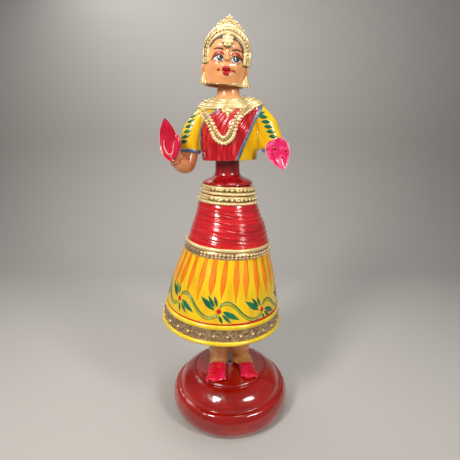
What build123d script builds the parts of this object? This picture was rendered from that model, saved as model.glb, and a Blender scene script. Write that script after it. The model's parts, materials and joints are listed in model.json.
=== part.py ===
"""Dancing doll: four hollow papier-mache sections that nod on wire pivots above a weighted base.

Millimetres. Origin at the centre of the base's underside, +Z up, the doll faces -Y, and its
own left hand is towards +X. Every hanging section rests on a crossbar that sits in a forked wire,
so it can sway about the fork (Y) and nod about the crossbar (X).
"""
from build123d import *
import os

# A shape's own lowest point sits on the plane that it is placed on.
ON_PLANE = (Align.CENTER, Align.CENTER, Align.MIN)

# ---- pivots, from the base up ----
SKIRT_PIVOT = Vector(-2.4, 0, 250)
TORSO_PIVOT = Vector(-1.8, 0, 338)
HEAD_PIVOT = Vector(-2.8, 0, 388)
# How far each section leans about Y, and the head about X, where the doll comes to rest.
SKIRT_LEAN = 3.0
TORSO_LEAN = -1.1
HEAD_LEAN = 4.5
HEAD_BOW = 3.0

# ---- walls and clearances ----
SKIRT_WALL = 2.6
TORSO_WALL = 2.3
HEAD_WALL = 1.8
BASE_WALL = 3.5
BAR_CLEARANCE = 0.05
SADDLE_GAP = 0.1
FIT_GAP = 0.1
TRIM_GAP = 0.25
SKIN_GAP = 0.15
EDGE_SOFT = 0.8

# ---- base ----
BASE_TOP = 47.5
BASE_BULGE_R = 66
BASE_FOOT_R = 59.5
PLATFORM_R = 38
BOARD_R = 56
BOARD_THICK = 2
BALLAST_TOP = 24

# ---- legs ----
LEG_OFFSET = 12
LEG_TOP = 150
LEG_GAP = 0.2
LEG_OUTLINE = [(11.4, 50), (9.6, 66), (10.6, 92), (11.6, 124), (11.6, LEG_TOP)]
COLUMN_TOP = 172
LEG_BACK_SET = 2
WIRE_GRIP = 16

# ---- skirt: height above the base's underside, outer radius ----
SKIRT_TOP = 257
SKIRT_OUTLINE = [(24.2, 259), (27.6, 242), (33.5, 233), (40.0, 217), (43.8, 200),
                 (51.0, 172), (57.2, 144), (61.2, 124), (62.2, 111)]

# ---- waist post ----
POST_R = 12.2
POST_WALL = 2.6
POST_TOP = 300
POST_NECK_R = 8.4
FLANGE_R = 25.4

# ---- torso: outer radius, height ----
TORSO_OUTLINE = [(26.7, 281), (27.6, 296), (27.4, 312), (25.6, 323), (22.4, 331),
                 (18.6, 336), (14.6, 340), (11.0, 344.5), (10.2, 348), (9.0, 352), (8.4, 356)]
SLEEVE_BALLS = [((30, 0, 317), 14.0), ((39, -1, 304), 11.6), ((41, -3, 291), 10.0)]
NECK_PLUG_Z = (343.5, 353)
NECK_PLUG_R = 6.2
CHOKER_Z = (333.4, 341.5)

# ---- head ----
HEAD_OUTLINE = [(19.4, 349), (20.0, 356), (20.4, 366), (19.9, 378), (17.4, 388), (12.0, 395.5), (4.0, 399.5)]
EAR_X = 21.0
EAR_Z = 364
CROWN_TOP = 405
CROWN_R = 24

# ---- clay pressed inside the sections: inner radius, outer radius, low, high, azimuth, half angle ----
HEM_WEIGHT = (56.6, 59.2, 112.5, 122)
SKIRT_CLAY = (41.5, 47.4, 158, 174, 0, 42)
TORSO_CLAY = (16.8, 24.9, 291, 308, 58, 31)
HEAD_CLAY = (12.0, 17.3, 359, 370, -62, 28)

# ---- wires: stem diameter, crossbar diameter, fork tube radius, half length of the crossbar ----
SKIRT_WIRE = (3.0, 2.4, 1.2, 24.6)
TORSO_WIRE = (2.6, 2.0, 1.1, 15.2)
HEAD_WIRE = (2.4, 1.8, 1.0, 16.2)


def lean(pivot, about_y, about_x=0.0):
    """The placement of a section that leans about its pivot."""
    return Pos(*pivot) * Rot(about_x, about_y, 0) * Pos(*(-pivot))


SKIRT_PLACE = lean(SKIRT_PIVOT, SKIRT_LEAN)
TORSO_PLACE = lean(TORSO_PIVOT, TORSO_LEAN)
HEAD_PLACE = lean(HEAD_PIVOT, HEAD_LEAN, HEAD_BOW)


def ring(outline):
    """Revolve a closed polygon of (radius, height) points about Z."""
    return revolve(Plane.XZ * make_face(Polyline(*outline, close=True)), Axis.Z)


def hollow_of(outline, wall):
    """Revolve a wall that follows an outline of (radius, height) points, open at both ends."""
    inner = [(radius - wall, height) for radius, height in reversed(outline)]
    return ring(outline + inner)


def solid_of(outline, grow=0.0):
    """Revolve everything inside an outline of (radius, height) points, grown outwards."""
    skin = [(radius + grow, height) for radius, height in outline]
    return ring([(0, outline[0][1])] + skin + [(0, outline[-1][1])])


def clay_lump(inner, outer, low, high, azimuth, half_angle):
    """A curved lump of clay on the inside of a wall, centred on an azimuth in degrees from +X."""
    corners = [(inner, low), (outer, low), (outer, high), (inner, high)]
    face = Plane.XZ * make_face(Polyline(*corners, close=True))
    return Rot(0, 0, azimuth - half_angle) * revolve(face, Axis.Z, revolution_arc=2 * half_angle)


def front_half(size=400):
    """A block that holds everything in front of the split plane Y = 0."""
    return Box(size, size, 2 * size, align=(Align.CENTER, Align.MAX, Align.CENTER))


def rod(start, end, radius):
    """A straight round rod between two points."""
    start, end = Vector(*start), Vector(*end)
    along = end - start
    return Plane(start, z_dir=along) * Cylinder(radius, along.length, align=ON_PLANE)


def taper(start, start_r, end, end_r):
    """A limb: two balls joined by a cone."""
    start, end = Vector(*start), Vector(*end)
    along = end - start
    cone = Plane(start, z_dir=along) * Cone(start_r, end_r, along.length, align=ON_PLANE)
    return cone + Pos(*start) * Sphere(start_r) + Pos(*end) * Sphere(end_r)


def crossbar(pivot, wire, spare=0.0):
    """The bar that a section hangs on; spare widens it to cut its running clearance."""
    length = 2 * (wire[3] + (0.3 if spare else 0))
    return Pos(*pivot) * Rot(0, 90, 0) * Cylinder(wire[1] / 2 + spare, length)


def forked_wire(pivot, wire, foot_z):
    """An upright wire that ends in a fork, with the crossbar's seat at its bottom."""
    stem_d, bar_d, tube_r, _ = wire
    seat = bar_d / 2 + SADDLE_GAP
    fork_r = 2.6 * tube_r
    centre_z = pivot.Z - seat - tube_r + fork_r
    loop = Rot(0, 90, 0) * Torus(fork_r, tube_r)
    cup = loop - Box(20, 20, 20, align=ON_PLANE)
    fork = Pos(pivot.X, pivot.Y, centre_z) * cup
    for side in (-1, 1):
        tip = Vector(pivot.X, pivot.Y + side * fork_r, centre_z + 1.0)
        fork += rod(tip - Vector(0, 0, 1.0), tip, tube_r) + Pos(*tip) * Sphere(tube_r)
    stem_top = pivot.Z - seat - tube_r
    return fork + rod((pivot.X, pivot.Y, foot_z), (pivot.X, pivot.Y, stem_top), stem_d / 2)


# ---------------------------------------------------------------- stand


def base_inner(height):
    """The bore radius of the base shell at a height, along its straight inner faces."""
    low, mid, high = (56.2, BOARD_THICK), (62.0, 15.0), (54.5, 29.0)
    start, end = (low, mid) if height <= mid[1] else (mid, high)
    share = (height - start[1]) / (end[1] - start[1])
    return start[0] + share * (end[0] - start[0])


def base_shell():
    """The round, stepped base, hollow below."""
    edge = Curve() + [
        Line((56.2, 0), (BASE_FOOT_R, 0)),
        ThreePointArc((BASE_FOOT_R, 0), (BASE_BULGE_R, 14.5), (59.6, 28.0)),
        Line((59.6, 28.0), (58.2, 28.4)),
        ThreePointArc((58.2, 28.4), (52.4, 38.2), (41.6, 45.0)),
        Line((41.6, 45.0), (40.0, 44.6)),
        Line((40.0, 44.6), (39.6, 46.2)),
        Line((39.6, 46.2), (PLATFORM_R, BASE_TOP)),
        Line((PLATFORM_R, BASE_TOP), (0, BASE_TOP)),
        Line((0, BASE_TOP), (0, BASE_TOP - BASE_WALL)),
        Line((0, BASE_TOP - BASE_WALL), (36, BASE_TOP - BASE_WALL - 2)),
        Line((36, BASE_TOP - BASE_WALL - 2), (base_inner(29), 29)),
        Line((base_inner(29), 29), (base_inner(15), 15)),
        Line((base_inner(15), 15), (base_inner(BOARD_THICK), BOARD_THICK)),
        Line((base_inner(BOARD_THICK), BOARD_THICK), (56.2, 0)),
    ]
    return revolve(Plane.XZ * make_face(edge), Axis.Z)


def base_ballast():
    """The clay fill that keeps the doll upright."""
    low = BOARD_THICK + FIT_GAP
    return ring([(0, low), (base_inner(low) - FIT_GAP, low), (base_inner(15) - FIT_GAP, 15),
                 (base_inner(BALLAST_TOP) - FIT_GAP, BALLAST_TOP), (0, BALLAST_TOP)])


def base_bottom_board():
    """The disc that closes the base and rests on the table."""
    return Cylinder(BOARD_R, BOARD_THICK, align=ON_PLANE)


def leg(side):
    """One leg with its foot: side is +1 for the doll's left, -1 for its right."""
    toe_out = 0 if side < 0 else 14
    reach = 33 if side < 0 else 29
    foot_x = side * (LEG_OFFSET + 1.5)
    shin = Pos(side * LEG_OFFSET, LEG_BACK_SET, 0) * solid_of(LEG_OUTLINE)
    sole = make_face(Polyline((-8.5, 15), (-10.5, 2), (-10.8, -16), (-9.0, -reach), (8.0, -reach),
                              (10.8, -18), (10.5, 2), (8.5, 15), close=True))
    flank = make_face(Polyline((-reach, 0), (15, 0), (14, 14), (-4, 17), (-18, 10), (-reach, 7), close=True))
    foot = extrude(sole, 20) & extrude(Plane.YZ * flank, 30, both=True)
    whole = shin + Pos(foot_x, 0, BASE_TOP) * Rot(0, 0, toe_out) * foot
    keep = Pos(side * LEG_GAP / 2, 0, BASE_TOP) * Box(
        80, 120, 140, align=(Align.MIN if side > 0 else Align.MAX, Align.CENTER, Align.MIN))
    return whole & keep


def leg_column():
    """The block above the legs that grips the pivot wire."""
    body = ring([(0, LEG_TOP), (19, LEG_TOP), (15, LEG_TOP + 8), (7, COLUMN_TOP), (0, COLUMN_TOP)])
    return Pos(SKIRT_PIVOT.X, LEG_BACK_SET, 0) * body - leg_pivot_wire()


def leg_pivot_wire():
    """The upright wire that carries the skirt."""
    return forked_wire(SKIRT_PIVOT, SKIRT_WIRE, COLUMN_TOP - WIRE_GRIP)


# ---------------------------------------------------------------- skirt


def skirt_radius(height):
    """The skirt's outer radius at a height, by straight steps along its outline."""
    for (low_r, low_z), (high_r, high_z) in zip(SKIRT_OUTLINE[1:], SKIRT_OUTLINE[:-1]):
        if low_z <= height <= high_z:
            return low_r + (high_r - low_r) * (height - low_z) / (high_z - low_z)
    raise ValueError("height is off the skirt")


def on_skirt(shape):
    """Move a shape drawn about Z onto the skirt's own leaning axis."""
    return SKIRT_PLACE * Pos(SKIRT_PIVOT.X, 0, 0) * shape


def skirt_shells():
    """Front and back halves of the skirt, with a running seat for the crossbar."""
    lid = Pos(0, 0, SKIRT_TOP) * Box(90, 90, 20, align=ON_PLANE)
    whole = on_skirt(hollow_of(SKIRT_OUTLINE, SKIRT_WALL)) - lid
    whole -= crossbar(SKIRT_PIVOT, SKIRT_WIRE, BAR_CLEARANCE)
    return whole & front_half(), whole - front_half()


def skirt_trim(low, high, stand_out):
    """A raised band wound round the skirt between two heights, rounded at its edges."""
    low_r, high_r = skirt_radius(low) + TRIM_GAP, skirt_radius(high) + TRIM_GAP
    soft = min(EDGE_SOFT, stand_out / 2)
    low_edge = [(low_r, low), (low_r + stand_out - soft, low), (low_r + stand_out, low + soft)]
    high_edge = [(high_r + stand_out, high - soft), (high_r + stand_out - soft, high), (high_r, high)]
    return on_skirt(ring(low_edge + high_edge))


def hem_weight_ring():
    """The clay ring inside the hem that makes the skirt hang steady."""
    inner, outer, low, high = HEM_WEIGHT
    taper_in = skirt_radius(low) - skirt_radius(high)
    return on_skirt(ring([(inner, low), (outer, low), (outer - taper_in, high), (inner - taper_in, high)]))


def on_waist(shape):
    """Move a shape drawn about Z onto the waist's upright axis."""
    return Pos(SKIRT_PIVOT.X - 0.2, 0, 0) * shape


def waist_post():
    """The hollow post and its domed flange, which the torso hangs round."""
    bore = POST_R - POST_WALL
    edge = Curve() + [
        Line((bore, SKIRT_TOP), (FLANGE_R, SKIRT_TOP)),
        ThreePointArc((FLANGE_R, SKIRT_TOP), (21.5, 261.6), (POST_R + 3.0, 264)),
        ThreePointArc((POST_R + 3.0, 264), (POST_R + 0.8, 265.6), (POST_R, 268.5)),
        Line((POST_R, 268.5), (POST_R, 284)),
        Line((POST_R, 284), (POST_NECK_R, 290)),
        Line((POST_NECK_R, 290), (POST_NECK_R, POST_TOP)),
        Line((POST_NECK_R, POST_TOP), (POST_NECK_R - POST_WALL, POST_TOP)),
        Line((POST_NECK_R - POST_WALL, POST_TOP), (POST_NECK_R - POST_WALL, 288)),
        Line((POST_NECK_R - POST_WALL, 288), (bore, 282)),
        Line((bore, 282), (bore, SKIRT_TOP)),
    ]
    return on_waist(revolve(Plane.XZ * make_face(edge), Axis.Z))


def waist_wire_plug():
    """The wooden plug that holds the torso's wire in the post."""
    bore = POST_NECK_R - POST_WALL
    plug = ring([(0, 289), (bore, 289), (bore, POST_TOP), (0, POST_TOP)])
    return on_waist(plug) - waist_pivot_wire()


def waist_pivot_wire():
    """The wire that stands in the post and carries the torso."""
    return forked_wire(TORSO_PIVOT, TORSO_WIRE, 290)


# ---------------------------------------------------------------- torso


def on_torso(shape):
    """Move a shape drawn about Z onto the torso's leaning axis."""
    return TORSO_PLACE * Pos(TORSO_PIVOT.X, 0, 0) * shape


def sleeve(side):
    """One upper arm, from the shoulder ball to the cuff."""
    balls = [(Vector(side * place[0], place[1], place[2]), radius) for place, radius in SLEEVE_BALLS]
    arm = None
    for (start, start_r), (end, end_r) in zip(balls, balls[1:]):
        limb = taper(start, start_r, end, end_r)
        arm = limb if arm is None else arm + limb
    return arm


def torso_shells():
    """Front and back halves of the torso, with a running seat for the crossbar."""
    whole = hollow_of(TORSO_OUTLINE, TORSO_WALL)
    filled = solid_of(TORSO_OUTLINE)
    for side in (-1, 1):
        whole += sleeve(side) - filled
    whole = on_torso(whole) - crossbar(TORSO_PIVOT, TORSO_WIRE, BAR_CLEARANCE)
    for side in (-1, 1):
        whole -= arm_wire(side)
        whole -= forearm_core(side)
    return whole & front_half(), whole - front_half()


def leaf(length, width):
    """A pointed leaf outline from the wrist (origin) to the fingertips, as a face."""
    half = width / 2
    edge = Curve() + [
        ThreePointArc((0, 0), (half * 0.8, length * 0.12), (half, length * 0.38)),
        ThreePointArc((half, length * 0.38), (half * 0.72, length * 0.74), (0, length)),
        ThreePointArc((0, length), (-half * 0.72, length * 0.74), (-half, length * 0.38)),
        ThreePointArc((-half, length * 0.38), (-half * 0.8, length * 0.12), (0, 0)),
    ]
    return make_face(edge)


def hand(side):
    """A flat open hand, its palm to the front: the right one points up, the left one down."""
    if side < 0:
        wrist, length, width, turn = (-56.0, -22.0, 280.8), 38.5, 19.5, 6
    else:
        wrist, length, width, turn = (43.0, -19.0, 302.5), 31.5, 24.0, 193
    palm = extrude(Plane.XZ * leaf(length, width), 2.5, both=True)
    return Pos(*wrist) * Rot(0, -turn, 0) * palm


def forearm_core(side):
    """The bare forearm from inside the sleeve to the back of the hand."""
    if side < 0:
        upper = taper((-41.8, -4, 284), 8.2, (-43.5, -8, 275.5), 8.0)
        return upper + taper((-43.5, -8, 275.5), 8.0, (-55, -18.5, 288), 5.5)
    return taper((41.6, -4, 286), 8.0, (43, -14, 287), 7.0)


def forearm(side):
    """Forearm and hand in one piece."""
    return forearm_core(side) + hand(side) - arm_wire(side)


def arm_wire(side):
    """The short wire that pins a forearm into its sleeve."""
    return rod((side * 40.2, -1.5, 300), (side * 42, -4.5, 280), 1.0)


def torso_radius(height):
    """The torso's outer radius at a height, by straight steps along its outline."""
    for (low_r, low_z), (high_r, high_z) in zip(TORSO_OUTLINE, TORSO_OUTLINE[1:]):
        if low_z <= height <= high_z:
            return low_r + (high_r - low_r) * (height - low_z) / (high_z - low_z)
    raise ValueError("height is off the torso")


def torso_skin(low, high, thick):
    """A thin skin round the torso's surface between two heights."""
    heights = [low] + [height for _, height in TORSO_OUTLINE if low < height < high] + [high]
    inner = [(torso_radius(height) + SKIN_GAP, height) for height in heights]
    outer = [(radius + thick, height) for radius, height in reversed(inner)]
    return ring(inner + outer)


def choker():
    """The collar of gold strands at the foot of the neck."""
    return on_torso(torso_skin(*CHOKER_Z, 1.6))


def chest_trim(outline, thick):
    """A trim that lies on the front of the chest, cut to an outline seen from the front."""
    return on_torso(torso_skin(290, CHOKER_Z[0] - 0.1, thick) & extrude(Plane.XZ * outline, 60))


def long_necklace():
    """The long U-shaped necklace."""
    return chest_trim(u_shape(18.5, 295.5) - u_shape(13.5, 300), 1.9)


def u_shape(half, foot):
    """A rounded U, open at the top, as a face: half its width at the top and its lowest height."""
    top, knee = 334, foot + half * 0.9
    return make_face(Curve() + [
        Line((half, top), (half * 0.75, knee)),
        ThreePointArc((half * 0.75, knee), (0, foot), (-half * 0.75, knee)),
        Line((-half * 0.75, knee), (-half, top)),
        Line((-half, top), (half, top)),
    ])


def pendant():
    """The small drop below the collar."""
    return chest_trim(Pos(-0.8, 327.5) * Circle(5.2), 2.2)


def neck_plug():
    """The wooden plug that holds the head's wire in the neck."""
    low, high = NECK_PLUG_Z
    plug = ring([(0, low), (NECK_PLUG_R, low), (NECK_PLUG_R, high), (0, high)])
    return on_torso(plug) - neck_pivot_wire()


def neck_pivot_wire():
    """The wire that stands in the neck and carries the head."""
    return forked_wire(HEAD_PIVOT, HEAD_WIRE, 346)


# ---------------------------------------------------------------- head


def on_head(shape):
    """Move a shape drawn about Z onto the head's leaning axis."""
    return HEAD_PLACE * Pos(HEAD_PIVOT.X, 0, 0) * shape


def head_shells():
    """Face and back halves of the head, with nose, ears and a running seat for the crossbar."""
    solid = solid_of(HEAD_OUTLINE)
    cavity = solid_of([(radius - HEAD_WALL, height) for radius, height in HEAD_OUTLINE[:-1]])
    whole = solid - cavity
    whole += Pos(0, -19.8, 365) * Sphere(2.6) - solid
    for side in (-1, 1):
        ear = Pos(side * EAR_X, -1.5, EAR_Z) * Rot(0, 90, 0) * Cylinder(4.6, 2.6)
        whole += ear - solid
    whole = on_head(whole) - crossbar(HEAD_PIVOT, HEAD_WIRE, BAR_CLEARANCE)
    return whole & front_half(), whole - front_half()


def crown():
    """The arched crown that stands over the forehead from ear to ear."""
    arch = make_face(Curve() + [
        Line((CROWN_R, 360), (CROWN_R, 374)),
        ThreePointArc((CROWN_R, 374), (18.2, 392), (8.0, 401)),
        Line((8.0, 401), (0, CROWN_TOP)),
        Line((0, CROWN_TOP), (-8.0, 401)),
        ThreePointArc((-8.0, 401), (-18.2, 392), (-CROWN_R, 374)),
        Line((-CROWN_R, 374), (-CROWN_R, 360)),
        Line((-CROWN_R, 360), (CROWN_R, 360)),
    ])
    band = Pos(0, -4.0, 0) * extrude(Plane.XZ * arch, 3.5, both=True)
    ears = Pos(0, 0, EAR_Z) * Box(60, 30, 14)
    return on_head(band - solid_of(HEAD_OUTLINE, SKIN_GAP) - ears)


def forehead_ornament():
    """The jewel that hangs from the crown onto the forehead."""
    jewel = extrude(Plane.XZ * (Pos(0, 382.5) * RectangleRounded(8, 10, 3.5)), 60)
    return on_head((solid_of(HEAD_OUTLINE, 1.6) - solid_of(HEAD_OUTLINE, SKIN_GAP)) & jewel)


def earring(side):
    """A small bell-shaped earring under one ear."""
    bell = ring([(0, 350.2), (3.2, 350.2), (2.9, 352.5), (1.0, 358.8), (0, 358.8)])
    return on_head(Pos(side * 22.9, -2.0, 0) * bell)


def hair_bun():
    """The knot of hair on the back of the head."""
    knot = Pos(0, 19.0, 372) * Sphere(9.5)
    return on_head(knot - solid_of(HEAD_OUTLINE, SKIN_GAP))


def main():
    """Build every piece and write one STEP file for each."""
    skirt_front, skirt_back = skirt_shells()
    torso_front, torso_back = torso_shells()
    head_face, head_back = head_shells()
    parts = {
        "base_shell": base_shell(),
        "base_ballast": base_ballast(),
        "base_bottom_board": base_bottom_board(),
        "right_leg": leg(-1),
        "left_leg": leg(1),
        "leg_column": leg_column(),
        "leg_pivot_wire": leg_pivot_wire(),
        "skirt_crossbar": crossbar(SKIRT_PIVOT, SKIRT_WIRE),
        "skirt_front_shell": skirt_front,
        "skirt_back_shell": skirt_back,
        "waist_belt_upper": skirt_trim(247.6, 255.4, 1.9),
        "waist_belt_lower": skirt_trim(238.2, 247.2, 1.9),
        "hip_band": skirt_trim(190.5, 200.0, 1.8),
        "hem_upper_roll": skirt_trim(126.0, 130.5, 1.0),
        "hem_band": skirt_trim(114.8, 125.8, 1.2),
        "hem_rim": skirt_trim(111.0, 114.6, 2.4),
        "hem_weight_ring": hem_weight_ring(),
        "skirt_balance_clay": on_skirt(clay_lump(*SKIRT_CLAY)),
        "waist_post": waist_post(),
        "waist_wire_plug": waist_wire_plug(),
        "waist_pivot_wire": waist_pivot_wire(),
        "torso_crossbar": crossbar(TORSO_PIVOT, TORSO_WIRE),
        "torso_front_shell": torso_front,
        "torso_back_shell": torso_back,
        "right_forearm": forearm(-1),
        "left_forearm": forearm(1),
        "right_arm_wire": arm_wire(-1),
        "left_arm_wire": arm_wire(1),
        "torso_balance_clay": on_torso(clay_lump(*TORSO_CLAY)),
        "choker": choker(),
        "long_necklace": long_necklace() - choker(),
        "pendant": pendant() - choker(),
        "neck_plug": neck_plug(),
        "neck_pivot_wire": neck_pivot_wire(),
        "head_crossbar": crossbar(HEAD_PIVOT, HEAD_WIRE),
        "head_face_shell": head_face,
        "head_back_shell": head_back,
        "crown": crown(),
        "forehead_ornament": forehead_ornament() - crown(),
        "right_earring": earring(-1),
        "left_earring": earring(1),
        "hair_bun": hair_bun(),
        "head_balance_clay": on_head(clay_lump(*HEAD_CLAY)),
    }
    os.makedirs("parts", exist_ok=True)
    for name, shape in parts.items():
        export_step(shape, f"parts/{name}.step")


main()
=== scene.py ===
"""Looks of the dancing doll: lacquered papier-mache sections, painted strokes, gold trim.

Lengths are in millimetres until a mesh is made. Each section of the doll leans a little about its
pivot, and its surfaces are written upright and then placed by that lean.
"""
import json
import math
import random

import bmesh
import bpy
import numpy as np
from mathutils import Matrix, Vector, noise
from mathutils.bvhtree import BVHTree


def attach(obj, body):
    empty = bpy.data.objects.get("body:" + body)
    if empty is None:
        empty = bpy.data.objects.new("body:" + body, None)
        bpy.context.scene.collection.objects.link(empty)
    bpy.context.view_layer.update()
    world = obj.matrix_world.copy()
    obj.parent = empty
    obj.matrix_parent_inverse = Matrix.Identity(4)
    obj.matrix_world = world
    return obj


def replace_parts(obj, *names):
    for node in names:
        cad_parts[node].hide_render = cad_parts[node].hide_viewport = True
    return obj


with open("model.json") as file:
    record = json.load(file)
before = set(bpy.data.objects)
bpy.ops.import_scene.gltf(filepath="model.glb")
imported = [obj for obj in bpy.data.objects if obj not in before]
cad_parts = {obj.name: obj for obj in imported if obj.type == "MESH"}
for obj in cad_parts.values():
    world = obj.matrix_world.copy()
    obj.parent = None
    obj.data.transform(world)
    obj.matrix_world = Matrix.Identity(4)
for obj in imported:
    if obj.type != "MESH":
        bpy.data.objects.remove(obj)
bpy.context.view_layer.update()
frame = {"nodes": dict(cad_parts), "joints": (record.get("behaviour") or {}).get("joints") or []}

MM = 0.001
random.seed(7)


# ---------------------------------------------------------------- places


def pivot_of(section):
    """A section's pivot in millimetres, from its sway joint."""
    joint = next(j for j in frame["joints"] if j["name"] == section + "_sway")
    return Vector(joint["pos_m"]) / MM


def lean(section, about_y, about_x=0.0):
    """The matrix that leans a section about its pivot and centres it on the pivot's axis."""
    pivot = pivot_of(section)
    turn = Matrix.Rotation(math.radians(about_x), 4, "X") @ Matrix.Rotation(math.radians(about_y), 4, "Y")
    centre = Matrix.Translation((pivot.x, 0, 0))
    return np.array(Matrix.Translation(pivot) @ turn @ Matrix.Translation(-pivot) @ centre)


UPRIGHT = np.eye(4)
SKIRT = lean("skirt", 3.0)
WAIST = np.array(Matrix.Translation((pivot_of("skirt").x - 0.2, 0, 0)))
TORSO = lean("torso", -1.1)
HEAD = lean("head", 4.5, 3.0)


def moved(matrix, points):
    """Points, as an array of xyz rows, carried by a 4 by 4 matrix."""
    return points @ matrix[:3, :3].T + matrix[:3, 3]


def smooth_through(points):
    """A smooth function through (value, position) points that never overshoots them."""
    points = sorted(points, key=lambda p: p[1])
    x = np.array([p[1] for p in points], float)
    y = np.array([p[0] for p in points], float)
    step = np.diff(x)
    slope = np.diff(y) / step
    tangent = np.zeros(len(x))
    same = slope[:-1] * slope[1:] > 0
    tangent[1:-1][same] = 2 * slope[:-1][same] * slope[1:][same] / (slope[:-1] + slope[1:])[same]
    tangent[0], tangent[-1] = slope[0], slope[-1]

    def value(at):
        at = np.clip(np.asarray(at, float), x[0], x[-1])
        i = np.clip(np.searchsorted(x, at) - 1, 0, len(step) - 1)
        t = (at - x[i]) / step[i]
        return ((1 + 2 * t) * (1 - t) ** 2 * y[i] + t * (1 - t) ** 2 * step[i] * tangent[i]
                + t * t * (3 - 2 * t) * y[i + 1] + t * t * (t - 1) * step[i] * tangent[i + 1])
    return value


class Lathe:
    """A round surface about a section's axis. Angles are in degrees from the front, towards +X."""

    def __init__(self, outline, matrix, relief=None, depth=1.0, drift=None):
        self.radius = smooth_through(outline)
        self.drift = drift
        self.matrix = matrix
        self.relief = relief
        self.depth = depth

    def at(self, angle, height, lift=0.0):
        """Points on the surface, raised along its normal by lift."""
        angle, height, lift = np.broadcast_arrays(np.asarray(angle, float), np.asarray(height, float), lift)
        slope = (self.radius(height + 0.05) - self.radius(height - 0.05)) / 0.1
        tilt = np.sqrt(1 + slope ** 2)
        radius = self.radius(height) + lift / tilt
        if self.relief:
            radius = radius + self.relief(angle, height)
        turn = np.radians(angle)
        flat = np.stack([radius * np.sin(turn), -self.depth * radius * np.cos(turn),
                         height - lift * slope / tilt], -1)
        if self.drift:
            flat[..., 0] += self.drift(height)
        return moved(self.matrix, flat)

    def from_angle(self, centre):
        """A place function for strokes: u runs round the surface in millimetres from a centre angle."""
        return lambda u, v, lift: self.at(centre + np.degrees(u / self.radius(v)), v, lift)


class Projected:
    """A surface met by looking straight at a finished mesh from the front (-1) or the back (+1)."""

    def __init__(self, tree, matrix, side=-1):
        self.tree = tree
        self.matrix = matrix
        self.side = side

    def at(self, u, v, lift=0.0):
        u, v, lift = np.broadcast_arrays(np.asarray(u, float), np.asarray(v, float), lift)
        out = np.empty(u.shape + (3,))
        look = Vector((0, -self.side, 0))
        for i in np.ndindex(u.shape):
            start = Vector(moved(self.matrix, np.array([u[i], self.side * 90.0, v[i]])))
            hit, normal, _, _ = self.tree.ray_cast(start, look)
            if hit is None:
                hit, normal, _, _ = self.tree.find_nearest(start + look * 75)
            out[i] = hit + normal * float(lift[i])
        return out


# ---------------------------------------------------------------- meshes


def ball_template():
    """A unit ball's vertices and faces."""
    ball = bmesh.new()
    bmesh.ops.create_icosphere(ball, subdivisions=2, radius=1.0)
    verts = np.array([v.co[:] for v in ball.verts])
    faces = [[v.index for v in f.verts] for f in ball.faces]
    ball.free()
    return verts, faces


BALL_VERTS, BALL_FACES = ball_template()


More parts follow.
